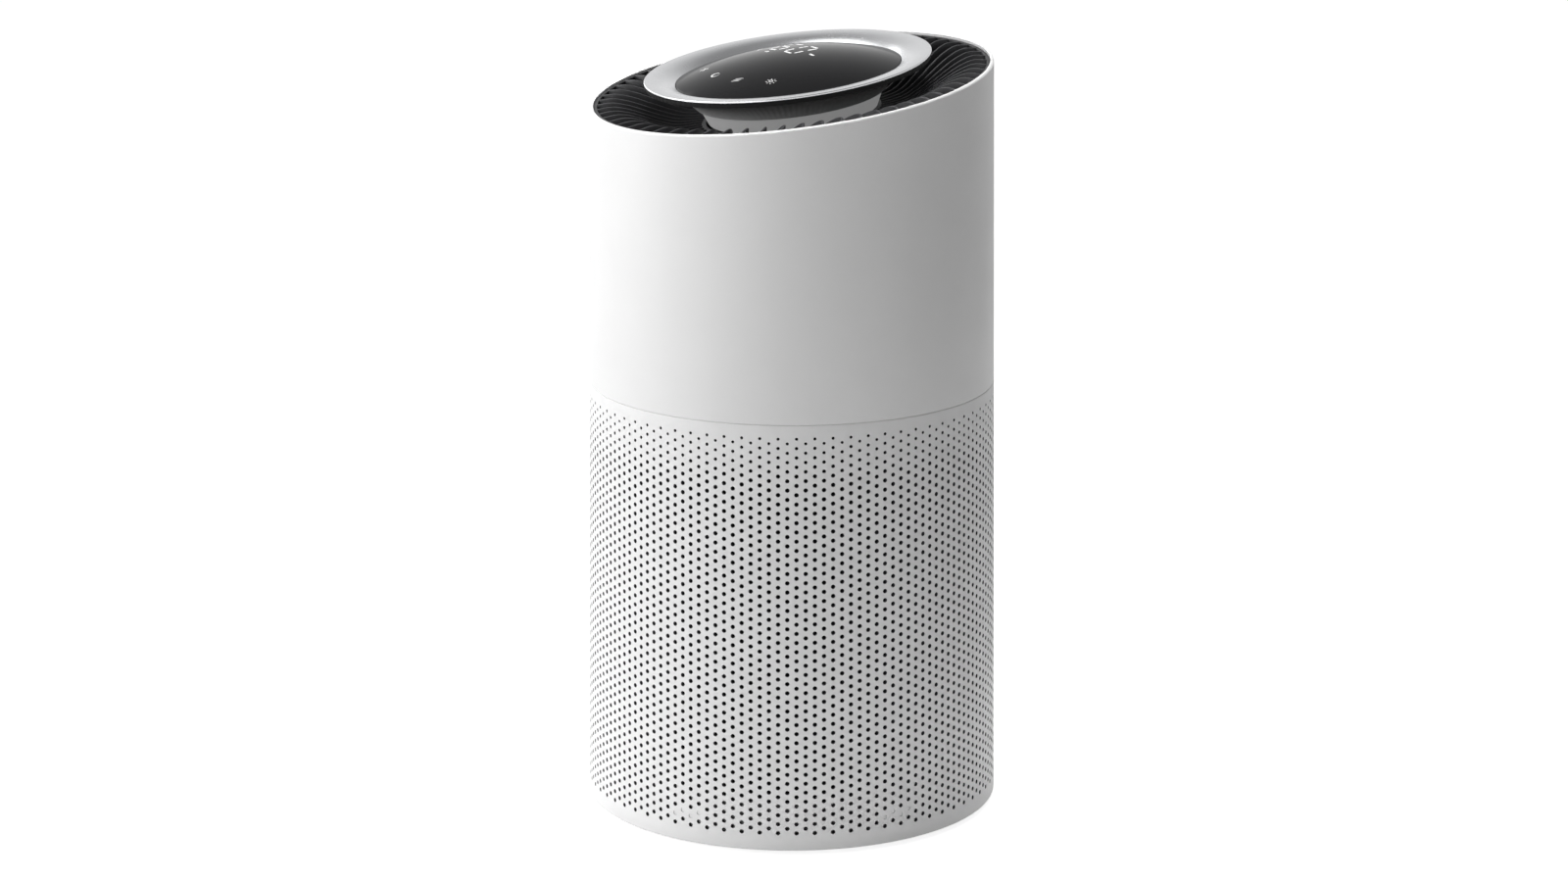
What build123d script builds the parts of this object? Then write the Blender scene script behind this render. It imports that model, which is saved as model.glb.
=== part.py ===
from build123d import *
from math import cos, degrees, radians, sin, tan
import os

# Air purifier: a tapered tower that draws air in through its perforated lower half,
# cleans it in a round filter and blows it out through a slanted louvre ring on top.
# Millimetres, +Z up, origin on the floor at the centre, front (the low side of the rim) towards -Y.
# Azimuths are degrees from the front, positive towards +X. Heights called "drop" are
# measured straight down from the slanted rim plane.

# Outer form
seam_radius = 125.0        # outside radius where the two shells meet
taper = 0.0111             # radius lost for each millimetre of height
foot_height = 3.0          # floor to the lower edge of the shell
seam_height = 268.0
seam_gap = 0.8             # shadow line between the shells
seam_depth = 0.9
rim_height = 452.5         # slanted rim, measured on the axis
rim_tilt = 7.65            # degrees
shell_wall = 2.2
rim_round = 1.5
rim_inner_round = 0.4
base_round = 1.2

# Clearances and joints
seat_gap = 0.3             # between pieces that are slid or dropped together
turn_gap = 0.5             # round the twist-off cover
bore_gap = 0.03            # running fit of the shaft in its bearings
hole_gap = 0.2             # screw shank in its clearance hole, as radius
bite = 1.0                 # how far a rib or spoke runs into the wall that carries it

# Perforated lower shell: catch pads and stiffening ribs between the hole columns
column_pitch = 2.5         # degrees
rib_count = 12
rib_width = 1.5
rib_height = 3.0
rib_low = 34.0
pad_count = 6
pad_azimuth = 31.25
pad_width = 20.0
pad_low = 18.7
pad_high = 24.3
pad_depth = 3.5

# Base ring, feet and twist-off cover
base_plate = 3.0
base_lift = 0.5            # underside of the base ring above the shell's edge
base_width = 27.4
base_wall = 2.2
base_wall_top = 11.0
arm_width = 14.0
arm_thick = 2.4
arm_nose = 3.2
foot_radius = 7.0
foot_inset = 13.4
foot_chamfer = 0.8
foot_stem_radius = 3.0
cover_plate = 2.5
cover_floor = 1.5
cover_wall = 2.5
cover_wall_top = 12.0
collar_wall = 5.0
collar_top = 15.0
lug_count = 4
lug_angle = 12.0
lug_reach = 2.7
lug_low = 7.5
lug_high = 10.5
twist_angle = 20.0
well_radius = 32.0
well_wall = 2.0
well_top = 12.0
grip_width = 12.0
cover_rib_count = 8
cover_rib_width = 2.0

# Filter
filter_room = 2.5          # between the filter and the opening it is lifted out through
filter_bore = 60.0
filter_low = 14.0
cap_height = 6.0
cap_lip = 1.5
cap_lip_depth = 2.0
pleat_count = 60
pleat_thick = 3.2
sleeve_wall = 1.2
core_wall = 1.6
seal_inset = 1.5
seal_width = 6.0
seal_height = 4.0
tab_length = 64.0
tab_width = 20.0
tab_thick = 0.8
tab_recess = 3.0
tab_recess_margin = 2.0
tab_sag = 1.6

# Fan deck with its bellmouth, and the finger guard in its mouth
deck_plate = 3.0
spigot_wall = 2.0
spigot_height = 6.0
mouth_margin = 1.5
mouth_flare = 23.0
mouth_height = 12.0
throat_wall = 2.5
throat_straight = 3.4
guard_height = 2.5
guard_rim = 3.5
guard_lap = 1.2
guard_spokes = 8
guard_bar = 2.2
guard_hub = 14.0
guard_ring = 48.0

# Impeller
impeller_room = 12.0       # between the wheel and the duct
impeller_gap = 1.3         # round the throat
shroud_lap = 3.0
shroud_collar = 5.0
shroud_rise = 11.0
shroud_wall = 1.8
wheel_height = 44.0        # foot of the shroud to the back plate
back_plate = 2.4
nose_depth = 26.0
nose_radius = 16.0
back_flat = 46.0
blade_count = 11
blade_inner = 44.0
blade_inset = 0.5
blade_sweep = 42.0         # degrees
blade_thick = 1.8
blade_belly = 4.0
hub_radius = 8.0
hub_length = 22.0

# Shaft, bearings and motor
shaft_radius = 4.0
shaft_end = 1.5
nut_height = 6.5
nut_flat = 13.0
bearing_radius = 11.0
bearing_width = 7.0
can_gap = 2.0
can_radius = 38.0
can_wall = 2.0
can_hole_radius = 8.0
seat_wall = 2.2
core_radius = 21.0
core_height = 12.0
core_gap = 1.0
tooth_count = 9
tooth_width = 6.0
yoke_radius = 30.0
coil_width = 3.0
coil_height = 3.0
coil_inset = 1.5
magnet_radius = 20.0

# Diffuser, dampers and duct
diffuser_gap = 1.5
diffuser_radius = 52.0
diffuser_top_radius = 46.0
diffuser_wall = 2.5
floor_plate = 3.0
floor_hole_radius = 8.0
vane_count = 9
vane_height = 34.0
vane_inset = 3.0
vane_thick = 2.0
vane_sweep = 24.0          # degrees
vane_belly = 5.0
vane_ring_wall = 2.4
damper_radius = 6.0
damper_height = 3.0
motor_hole_circle = 26.0
motor_screw_count = 3
service_gap = 20.8         # between the shell and the duct, for the electrics
duct_wall = 2.0
duct_step = 0.8
ledge_height = 7.0
ledge_reach = 2.5
flare_height = 24.0
flare_margin = 2.0

# Outlet louvre: stations are (share of the way from the frame to the hub,
# swirl in degrees, drop of the blade's top edge)
fin_count = 62
fin_thick = 1.6
fin_depth = 13.0
fin_stations = (
    (0.00, 0.0, 0.9),
    (0.14, 0.9, 0.2),
    (0.29, -0.2, 3.1),
    (0.45, -2.7, 8.4),
    (0.60, -6.4, 13.9),
    (0.76, -10.5, 18.2),
    (1.00, -16.8, 19.6),
)
frame_wall = 2.1
frame_drop = 1.0
hub_ring_radius = 54.8
hub_ring_wall = 2.8
hub_ring_foot = 33.0
hub_floor = 2.0
hub_floor_bore = 30.0

# Control hub on the tilted axis; heights are from the point where that axis meets the tower's
hub_pivot_drop = 12.0
light_ring_wall = 1.9
light_ring_top = 56.6
light_ring_foot = 52.0
skirt_foot_radius = 58.4
skirt_foot = 3.25
skirt_wall = 2.0
skirt_top_radius = 87.2
skirt_crease = 18.4        # where the flare meets the upright band under the ring
skirt_top = 21.0
skirt_bow = 4.6
skirt_ledge = 12.6
ring_radius = 88.0
ring_edge = 22.6
ring_dish = 4.6
ring_roll = 0.21           # share of the dish already lost half-way in
ring_round = 0.6
dome_radius = 69.0
dome_edge = 18.2
dome_rise = 11.5
dome_wall = 2.5
dome_rim = 5.0
dome_foot = 15.5
cup_radius = 49.0
cup_wall = 2.5
cup_flange = 2.0
cup_flange_radius = 66.0
board_radius = 60.0
board_thick = 1.6
digits_length = 38.0
digits_width = 16.0
key_count = 4
key_pitch = 30.0           # degrees
key_turn = 4.0             # degrees, from the front to the middle of the keys
key_circle = 47.0
key_radius = 4.0

# Electrics behind the duct
inlet_rise = 22.4          # above the deck
inlet_width = 20.0
inlet_tall = 12.0
inlet_room = 6.0           # between the inlet and the duct
inlet_flange = 3.0
inlet_flange_plate = 2.0
socket_width = 14.6
socket_tall = 8.2
socket_depth = 12.0
pin_radius = 1.2
pin_pitch = 8.6
pin_reach = 10.0
pin_tail = 3.5
power_width = 60.0
power_tall = 52.0
power_rise = 12.0
power_room = 8.0           # between the board and the duct
post_radius = 3.0
post_inset = 8.0
choke_width = 16.0
choke_depth = 7.0
choke_tall = 18.0
capacitor_radius = 4.0
capacitor_tall = 16.0
sensor_azimuth = 218.0
sensor_width = 40.0
sensor_depth = 14.0
sensor_tall = 32.0
sensor_rise = 40.0
window_depth = 4.0
window_edge = 6.0
vent_count = 5
vent_width = 14.0
vent_slot = 2.0
vent_pitch = 4.5

# Screws
shell_screw_inset = 7.3
shell_screw_count = 6
shell_screw_radius = 1.5
shell_boss_radius = 3.6
shell_boss_height = 24.0
boss_web = 2.0
head_radius = 2.8
motor_head_radius = 3.8
head_height = 2.0
screw_length = 12.0
motor_screw_radius = 2.0
hub_screw_circle = 38.0
hub_screw_count = 3


tilt = radians(rim_tilt)
slope = tan(tilt)


# Shapes that several pieces share
def outer_radius(z):
    return seam_radius - taper * (z - seam_height)


def inner_radius(z):
    return outer_radius(z) - shell_wall


def turned(*points, arc=360.0):
    # A closed (radius, height) outline turned about the Z axis.
    outline = Polyline(*[(r, 0, z) for r, z in points], close=True)
    return revolve(make_face(outline), Axis.Z, revolution_arc=arc)


def tube(r_in, r_out, low, high):
    return turned((r_in, low), (r_out, low), (r_out, high), (r_in, high))


def disc(radius, low, high):
    return Pos(0, 0, (low + high) / 2) * Cylinder(radius, high - low)


def block(x, y, z):
    # A box between pairs of coordinates.
    middle = [sum(pair) / 2 for pair in (x, y, z)]
    return Pos(*middle) * Box(x[1] - x[0], y[1] - y[0], z[1] - z[0])


def turn_to(azimuth):
    # Turns the +X direction to an azimuth.
    return Rot(0, 0, azimuth - 90)


def sector(points, width, azimuth):
    # A turned outline that only spans a few degrees, centred on an azimuth.
    return turn_to(azimuth - width / 2) * turned(*points, arc=width)


def angle_of(length, radius):
    return degrees(length / radius)


def azimuths(count, first=0.0):
    return [first + 360 / count * i for i in range(count)]


def slant(drop):
    # The rim plane, lowered along Z.
    return Plane(origin=(0, 0, rim_height - drop), x_dir=(1, 0, 0), z_dir=(0, -sin(tilt), cos(tilt)))


def below(part, drop):
    return split(part, bisect_by=slant(drop), keep=Keep.BOTTOM)


def above(part, drop):
    return split(part, bisect_by=slant(drop), keep=Keep.TOP)


def screw(shank, length, head=head_radius):
    # Pan head screw, head up, seated at the origin.
    return disc(shank, -length, 0) + disc(head, 0, head_height)


# Where the pieces meet
hub_frame = slant(hub_pivot_drop)
tall = rim_height + seam_radius * (1 + slope)      # above every slanted edge
deck_top = seam_height - seam_gap / 2
deck_low = deck_top - deck_plate
base_floor = foot_height + base_lift
base_outer = inner_radius(base_floor) - seat_gap
cover_radius = base_outer - base_width - turn_gap
foot_circle = base_outer - foot_inset
filter_radius = cover_radius - filter_room
filter_top = deck_low - seal_height
media_low = filter_low + cap_height
media_high = filter_top - cap_height
sleeve_outer = filter_radius - cap_lip - seat_gap
pleat_outer = sleeve_outer - sleeve_wall - seat_gap
pleat_inner = filter_bore + core_wall + seat_gap
seal_outer = filter_radius - seal_inset
seal_inner = seal_outer - seal_width
mouth_radius = seal_inner - mouth_margin
throat_radius = mouth_radius - mouth_flare
throat_start = deck_top + mouth_height
throat_top = throat_start + throat_straight
duct_outer = inner_radius(deck_top) - service_gap
duct_radius = duct_outer - duct_wall
impeller_radius = duct_radius - impeller_room
shroud_low = throat_top - shroud_lap
shroud_straight = shroud_low + shroud_collar
shroud_edge = shroud_straight + shroud_rise
back_low = shroud_low + wheel_height
back_top = back_low + back_plate
back_nose = back_low - nose_depth
can_low = back_top + can_gap
core_low = can_low + can_wall + bearing_width + core_gap
core_top = core_low + core_height
can_top = core_top + core_gap + bearing_width + can_wall
can_seam = core_top + coil_height + core_gap
shaft_low = back_nose - nut_height - shaft_end
shaft_top = can_top + shaft_end
floor_low = can_top + damper_height
floor_top = floor_low + floor_plate
diffuser_low = back_top + diffuser_gap
ledge_top = diffuser_low + ledge_height
vane_low = ledge_top + vane_inset
vane_top = vane_low + vane_height
frame_outer = inner_radius(rim_height + seam_radius * slope) - seat_gap
frame_inner = frame_outer - frame_wall
duct_top_outer = frame_outer - duct_step
frame_foot = fin_depth + frame_drop
flare_end = rim_height - frame_foot - slope * duct_top_outer - flare_margin
flare_start = flare_end - flare_height
inlet_height = deck_top + inlet_rise
inlet_back = duct_outer + inlet_room
power_low = inlet_height + power_rise
power_high = power_low + power_tall
power_face = duct_outer + power_room
sensor_low = deck_top + sensor_rise
screw_circle = inner_radius(deck_top) - shell_screw_inset
shell_azimuths = azimuths(shell_screw_count, 180 / shell_screw_count)
motor_azimuths = azimuths(motor_screw_count)
hub_azimuths = azimuths(hub_screw_count, 180 / hub_screw_count)


# Outer shells
def upper_shell():
    low = seam_height + seam_gap / 2
    wall = turned((inner_radius(low), low), (outer_radius(low), low),
                  (outer_radius(tall), tall), (inner_radius(tall), tall))
    wall = below(wall, 0)
    rim = wall.faces().filter_by(GeomType.PLANE).sort_by(Axis.Z)[-1]
    wall = fillet(rim.outer_wire().edges(), rim_round)
    rim = wall.faces().filter_by(GeomType.PLANE).sort_by(Axis.Z)[-1]
    wall = fillet(rim.inner_wires()[0].edges(), rim_inner_round)
    web_low = deck_top + spigot_height + seat_gap
    boss_top = deck_top + shell_boss_height
    for azimuth in shell_azimuths:
        boss = Pos(screw_circle, 0, 0) * disc(shell_boss_radius, deck_top, boss_top)
        web = block((screw_circle, inner_radius(web_low) + shell_wall / 2),
                    (-boss_web / 2, boss_web / 2), (web_low, boss_top))
        bore = Pos(screw_circle, 0, 0) * disc(shell_screw_radius, deck_top, deck_low + screw_length)
        wall += turn_to(azimuth) * (boss + web)
        wall -= turn_to(azimuth) * bore
    wall -= inlet_outline(seat_gap)
    for i in range(vent_count):
        height = sensor_low + sensor_tall / 2 + (i - (vent_count - 1) / 2) * vent_pitch
        slot = block((sensor_face(), seam_radius * 2), (-vent_width / 2, vent_width / 2),
                     (height - vent_slot / 2, height + vent_slot / 2))
        wall -= turn_to(sensor_azimuth) * slot
    return wall


def lower_shell():
    low = foot_height
    high = deck_top
    wall = turned((inner_radius(low), low), (outer_radius(low) - base_round, low),
                  (outer_radius(low), low + base_round), (outer_radius(high), high),
                  (inner_radius(high), high))
    rib_high = deck_low - seat_gap
    for azimuth in azimuths(rib_count, column_pitch / 2):
        outline = ((inner_radius(rib_low) - rib_height, rib_low), (inner_radius(rib_low) + bite, rib_low),
                   (inner_radius(rib_high) + bite, rib_high), (inner_radius(rib_high) - rib_height, rib_high))
        wall += sector(outline, angle_of(rib_width, seam_radius), azimuth)
    for azimuth in azimuths(pad_count, pad_azimuth):
        outline = ((inner_radius(pad_low) - pad_depth, pad_low), (inner_radius(pad_low) + bite, pad_low),
                   (inner_radius(pad_high) + bite, pad_high), (inner_radius(pad_high) - pad_depth, pad_high))
        wall += sector(outline, angle_of(pad_width, seam_radius), azimuth)
    return wall


# Base
def collar_groove(azimuth):
    # Where one lug of the cover enters from below and then turns over the ledge.
    reach = cover_radius + lug_reach + turn_gap
    slack = angle_of(turn_gap, cover_radius)
    low = lug_low - seat_gap
    high = lug_high + seat_gap
    track = ((cover_radius, low), (reach, low), (reach, high), (cover_radius, high))
    entry = ((cover_radius, 0), (reach, 0), (reach, high), (cover_radius, high))
    width = lug_angle + 2 * slack
    return (sector(track, width + twist_angle, azimuth - twist_angle / 2)
            + sector(entry, width, azimuth - twist_angle))


def base_ring():
    outer = base_outer
    inner = cover_radius + turn_gap
    collar = inner + collar_wall
    ring = turned((inner, base_floor), (outer, base_floor), (outer, base_wall_top),
                  (outer - base_wall, base_wall_top), (outer - base_wall, base_floor + base_plate),
                  (collar, base_floor + base_plate), (collar, collar_top), (inner, collar_top))
    for azimuth in azimuths(lug_count):
        ring -= collar_groove(azimuth)
    face = inner_radius(pad_low) - pad_depth - seat_gap
    nose_low = pad_high + seat_gap
    arm = ((face - arm_thick, base_floor), (face, base_floor), (face, nose_low),
           (face + arm_nose - seat_gap, nose_low), (face, nose_low + arm_nose),
           (face - arm_thick, nose_low + arm_nose))
    for azimuth in azimuths(pad_count, pad_azimuth):
        ring += sector(arm, angle_of(arm_width, face), azimuth)
        stem = Pos(foot_circle, 0, 0) * disc(foot_stem_radius + hole_gap, 0, base_floor + base_plate)
        ring -= turn_to(azimuth + 180 / pad_count) * stem
    return ring


def feet():
    foot = disc(foot_radius, 0, base_floor)
    foot = chamfer(foot.edges().group_by(Axis.Z)[0], foot_chamfer)
    foot += disc(foot_stem_radius, base_floor, base_floor + base_plate)
    foot = Pos(foot_circle, 0, 0) * foot
    return [turn_to(azimuth + 180 / pad_count) * foot for azimuth in azimuths(pad_count, pad_azimuth)]


def base_cover():
    plate_top = cover_floor + cover_plate
    rib_top = filter_low - seat_gap
    cover = turned((0, cover_floor), (cover_radius, cover_floor), (cover_radius, cover_wall_top),
                   (cover_radius - cover_wall, cover_wall_top), (cover_radius - cover_wall, plate_top),
                   (0, plate_top))
    cover += disc(well_radius, cover_floor, well_top)
    for azimuth in azimuths(cover_rib_count, 180 / cover_rib_count):
        rib = block((well_radius - bite, cover_radius - cover_wall - bite),
                    (-cover_rib_width / 2, cover_rib_width / 2), (cover_floor, rib_top))
        cover += turn_to(azimuth) * rib
    well = disc(well_radius - well_wall, 0, well_top - well_wall)
    well -= block((-well_radius, well_radius), (-grip_width / 2, grip_width / 2), (0, well_top))
    cover -= well
    lug = ((cover_radius - bite, lug_low), (cover_radius + lug_reach, lug_low),
           (cover_radius + lug_reach, lug_high), (cover_radius - bite, lug_high))
    for azimuth in azimuths(lug_count):
        cover += sector(lug, lug_angle, azimuth)
    return cover


# Filter
def filter_cap_bottom():
    lip = media_low
    recess = tab_length / 2 + tab_recess_margin
    return turned((recess, filter_low), (filter_radius, filter_low), (filter_radius, lip + cap_lip_depth),
                  (filter_radius - cap_lip, lip + cap_lip_depth), (filter_radius - cap_lip, lip), (0, lip),
                  (0, filter_low + tab_recess), (recess, filter_low + tab_recess))


def filter_cap_top():
    high = filter_top
    lip = media_high
    return turned((filter_bore, high), (filter_radius, high), (filter_radius, lip - cap_lip_depth),
                  (filter_radius - cap_lip, lip - cap_lip_depth), (filter_radius - cap_lip, lip),
                  (filter_bore, lip))


def pleat_star(peak, valley):
    half = 180 / pleat_count
    points = []
    for i in range(pleat_count):
        for radius, angle in ((peak, 2 * i * half), (valley, (2 * i + 1) * half)):
            points.append((radius * cos(radians(angle)), radius * sin(radians(angle))))
    return make_face(Polyline(*points, close=True))


def filter_media():
    band = pleat_star(pleat_outer, pleat_inner + pleat_thick)
    band -= pleat_star(pleat_outer - pleat_thick, pleat_inner)
    return Pos(0, 0, media_low) * extrude(band, media_high - media_low)


def filter_sleeve():
    return tube(sleeve_outer - sleeve_wall, sleeve_outer, media_low, media_high)


def filter_core():
    return tube(filter_bore, filter_bore + core_wall, media_low, media_high)


def filter_seal():
    return tube(seal_inner, seal_outer, filter_top, deck_low)


def filter_tab():
    # A woven ribbon across the recess, fixed at its ends and bowed down in the middle.
    half = tab_length / 2
    top = filter_low + tab_recess
    edge = top - tab_thick / 2
    line = ThreePointArc((-half, 0, edge), (0, 0, top - tab_sag), (half, 0, edge))
    section = Plane(origin=line @ 0, x_dir=(0, 1, 0), z_dir=line % 0) * Rectangle(tab_width, tab_thick)
    ribbon = sweep(section, path=line)
    return split(ribbon, bisect_by=Plane.XY.offset(top), keep=Keep.BOTTOM)


# Fan deck
def fan_deck():
    outer = inner_radius(deck_low) - seat_gap
    lip = outer_radius(seam_height) - seam_depth
    lip_top = seam_height + seam_gap / 2
    spigot_top = deck_top + spigot_height
    spigot = inner_radius(spigot_top) - seat_gap
    flat = turned((mouth_radius, deck_low), (outer, deck_low), (outer, deck_top), (lip, deck_top),
                  (lip, lip_top), (spigot, lip_top), (spigot, spigot_top), (spigot - spigot_wall, spigot_top),
                  (spigot - spigot_wall, deck_top), (mouth_radius, deck_top))
    reach = mouth_radius - throat_radius
    under = EllipticalCenterArc((mouth_radius, throat_start), reach, throat_start - deck_low,
                                start_angle=180, arc_size=90)
    over = EllipticalCenterArc((mouth_radius, throat_start), reach - throat_wall, throat_start - deck_top,
                               start_angle=180, arc_size=90)
    outline = [under, over, Line(under @ 1, over @ 1),
               Polyline(over @ 0, (throat_radius + throat_wall, throat_top),
                        (throat_radius, throat_top), under @ 0)]
    mouth = revolve(Plane.XZ * make_face(outline), Axis.Z)
    deck = flat + mouth
    for azimuth in shell_azimuths:
        hole = Pos(screw_circle, 0, 0) * disc(shell_screw_radius + hole_gap, deck_low, deck_top)
        deck -= turn_to(azimuth) * hole
    return deck


def inlet_guard():
    low = deck_low - guard_height
    rim = mouth_radius + guard_lap
    guard = tube(rim - guard_rim, rim, low, deck_low)
    guard += tube(guard_ring - guard_bar, guard_ring, low, low + guard_bar)
    guard += disc(guard_hub, low, low + guard_bar)
    for azimuth in azimuths(guard_spokes):
        spoke = block((guard_hub - bite, rim - guard_rim + bite), (-guard_bar / 2, guard_bar / 2),
                      (low, low + guard_bar))
        guard += turn_to(azimuth) * spoke
    return guard


# Rotating parts
def blade_plan(r_in, r_out, sweep_angle, belly, thick):
    start = Vector(r_in, 0)
    end = Vector(r_out, 0).rotate(Axis.Z, -sweep_angle)
    middle = (start + end) * 0.5
    across = (end - start).normalized().rotate(Axis.Z, 90)
    return trace(ThreePointArc(start, middle + across * belly, end), thick)


def impeller():
    eye = throat_radius + throat_wall + impeller_gap
    shroud = turned((eye, shroud_low), (eye + shroud_wall, shroud_low), (eye + shroud_wall, shroud_straight),
                    (impeller_radius, shroud_edge - shroud_wall), (impeller_radius, shroud_edge),
                    (eye, shroud_straight + shroud_wall))
    back = turned((shaft_radius, back_nose), (nose_radius, back_nose), (back_flat, back_low),
                  (impeller_radius, back_low), (impeller_radius, back_top),
                  (back_flat - back_plate, back_top),
                  (nose_radius, back_nose + back_plate), (hub_radius, back_nose + back_plate),
                  (hub_radius, back_nose + hub_length), (shaft_radius, back_nose + hub_length))
    blade_low = throat_top + impeller_gap
    blade_tip = impeller_radius - blade_inset
    passage = turned((blade_inner, blade_low), (eye + shroud_wall / 2, blade_low),
                     (eye + shroud_wall / 2, shroud_straight + shroud_wall / 2),
                     (blade_tip, shroud_edge - shroud_wall / 2),
                     (blade_tip, back_low + back_plate / 2), (back_flat, back_low + back_plate / 2),
                     (blade_inner, back_low - bite))
    plan = blade_plan(blade_inner - bite, impeller_radius + bite, blade_sweep, blade_belly, blade_thick)
    blade = Pos(0, 0, shroud_low) * extrude(plan, back_top - shroud_low) & passage
    return shroud + back + [turn_to(azimuth) * blade for azimuth in azimuths(blade_count)]


def impeller_nut():
    nut = extrude(RegularPolygon(nut_flat / 2, 6, major_radius=False), nut_height)
    nut = Pos(0, 0, back_nose - nut_height) * nut
    return nut - disc(shaft_radius, 0, tall)


def fan_shaft():
    return disc(shaft_radius, shaft_low, shaft_top)


def motor_magnet():
    return tube(shaft_radius, magnet_radius, core_low, core_top)


# Motor
def bearing(low):
    return tube(shaft_radius + bore_gap, bearing_radius, low, low + bearing_width)


def motor_can():
    seat = bearing_radius + seat_wall
    floor = can_low + can_wall
    return turned((can_hole_radius, can_low), (can_radius, can_low), (can_radius, can_seam),
                  (can_radius - can_wall, can_seam), (can_radius - can_wall, floor), (seat, floor),
                  (seat, floor + bearing_width), (bearing_radius, floor + bearing_width),
                  (bearing_radius, floor), (can_hole_radius, floor))


def motor_lid():
    roof = can_top - can_wall
    seat = bearing_radius + seat_wall
    lid = turned((can_hole_radius, can_top), (can_radius, can_top), (can_radius, can_seam),
                 (can_radius - can_wall, can_seam), (can_radius - can_wall, roof), (seat, roof),
                 (seat, roof - bearing_width), (bearing_radius, roof - bearing_width),
                 (bearing_radius, roof), (can_hole_radius, roof))
    for azimuth in motor_azimuths:
        hole = Pos(motor_hole_circle, 0, 0) * disc(motor_screw_radius, roof, can_top)
        lid -= turn_to(azimuth) * hole
    return lid


def motor_core():
    outer = can_radius - can_wall
    core = tube(yoke_radius, outer, core_low, core_top)
    for azimuth in azimuths(tooth_count):
        tooth = block((core_radius - bite, yoke_radius + bite), (-tooth_width / 2, tooth_width / 2),
                      (core_low, core_top))
        core += turn_to(azimuth) * tooth
    return core - disc(core_radius, core_low, core_top)


def motor_coils():
    # One bobbin of wire round each tooth.
    coils = []
    half = tooth_width / 2
    for azimuth in azimuths(tooth_count):
        x = (core_radius + coil_inset, yoke_radius)
        coil = block(x, (-half - coil_width, half + coil_width),
                     (core_low - coil_height, core_top + coil_height))
        coil -= block(x, (-half, half), (core_low, core_top))
        coil = coil & tube(core_radius, yoke_radius - seat_gap, 0, tall)
        coils.append(turn_to(azimuth) * coil)
    return coils


# Diffuser, dampers and duct
def fan_diffuser():
    reach = diffuser_top_radius
    core = turned((diffuser_radius - diffuser_wall, diffuser_low), (diffuser_radius, diffuser_low),
                  (diffuser_radius, floor_low), (reach, tall), (reach - diffuser_wall, tall),
                  (diffuser_radius - diffuser_wall, floor_low))
    core = below(core, hub_ring_foot)
    core += tube(floor_hole_radius, diffuser_radius - diffuser_wall / 2, floor_low, floor_top)
    ring = duct_radius - seat_gap
    core += tube(ring - vane_ring_wall, ring, ledge_top, vane_top)
    plan = blade_plan(diffuser_radius - bite, ring - vane_ring_wall / 2, vane_sweep, -vane_belly, vane_thick)
    vane = Pos(0, 0, vane_low) * extrude(plan, vane_top - vane_low)
    for azimuth in azimuths(vane_count, 180 / vane_count):
        core += turn_to(azimuth) * vane
    for azimuth in motor_azimuths:
        hole = Pos(motor_hole_circle, 0, 0) * disc(motor_screw_radius + hole_gap, floor_low, floor_top)
        core -= turn_to(azimuth) * hole
    return core


def motor_dampers():
    bush = tube(motor_screw_radius + hole_gap, damper_radius, can_top, floor_low)
    return [turn_to(azimuth) * Pos(motor_hole_circle, 0, 0) * bush for azimuth in motor_azimuths]


def air_duct():
    top_inner = duct_top_outer - duct_wall
    duct = turned((duct_radius, deck_top), (duct_outer, deck_top), (duct_outer, flare_start),
                  (duct_top_outer, flare_end), (duct_top_outer, tall), (top_inner, tall),
                  (top_inner, flare_end), (duct_radius, flare_start), (duct_radius, ledge_top),
                  (duct_radius - ledge_reach, ledge_top), (duct_radius, ledge_top - ledge_reach))
    duct = below(duct, frame_foot)
    for x in (-1, 1):
        for z in (power_low + post_inset, power_high - post_inset):
            place = Pos(x * (power_width / 2 - post_inset), 0, z) * Rot(-90, 0, 0)
            duct += place * disc(post_radius, duct_radius, power_face) - disc(duct_radius, 0, tall)
    return duct


# Outlet louvre
def fin(azimuth):
    # One S-shaped blade: upright sections along its path, joined by straight faces.
    sections = []
    for i, (share, swirl, drop) in enumerate(fin_stations):
        place = fin_point(azimuth, share, swirl)
        last = fin_stations[max(i - 1, 0)]
        following = fin_stations[min(i + 1, len(fin_stations) - 1)]
        along = fin_point(azimuth, *following[:2]) - fin_point(azimuth, *last[:2])
        height = rim_height - drop - fin_depth / 2 + slope * place.Y
        across = along.normalized().rotate(Axis.Z, 90)
        plane = Plane(origin=(place.X, place.Y, height), x_dir=across, z_dir=along)
        sections.append(plane * Rectangle(fin_thick, fin_depth))
    return loft(sections, ruled=True)


def fin_point(azimuth, share, swirl):
    start = frame_inner + bite
    end = hub_ring_radius - bite
    return Vector(start + (end - start) * share, 0).rotate(Axis.Z, azimuth + swirl - 90)


def outlet_grille():
    frame = above(below(tube(frame_inner, frame_outer, deck_top, tall), frame_drop), frame_foot)
    hub = tube(hub_ring_radius - hub_ring_wall, hub_ring_radius, deck_top, tall)
    hub = above(below(hub, fin_stations[-1][2]), hub_ring_foot)
    floor = tube(hub_floor_bore, hub_ring_radius - bite, deck_top, tall)
    floor = above(below(floor, hub_ring_foot - hub_floor), hub_ring_foot)
    return frame + hub + floor + [fin(azimuth) for azimuth in azimuths(fin_count)]


# Control hub
def hub_floor_height():
    return (hub_pivot_drop - hub_ring_foot + hub_floor) * cos(tilt)


def light_ring():
    foot = (hub_pivot_drop - fin_stations[-1][2]) * cos(tilt) + seat_gap
    return hub_frame * turned((light_ring_foot - light_ring_wall, foot), (light_ring_foot, foot),
                              (light_ring_top, skirt_foot), (light_ring_top - light_ring_wall, skirt_foot))


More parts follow.
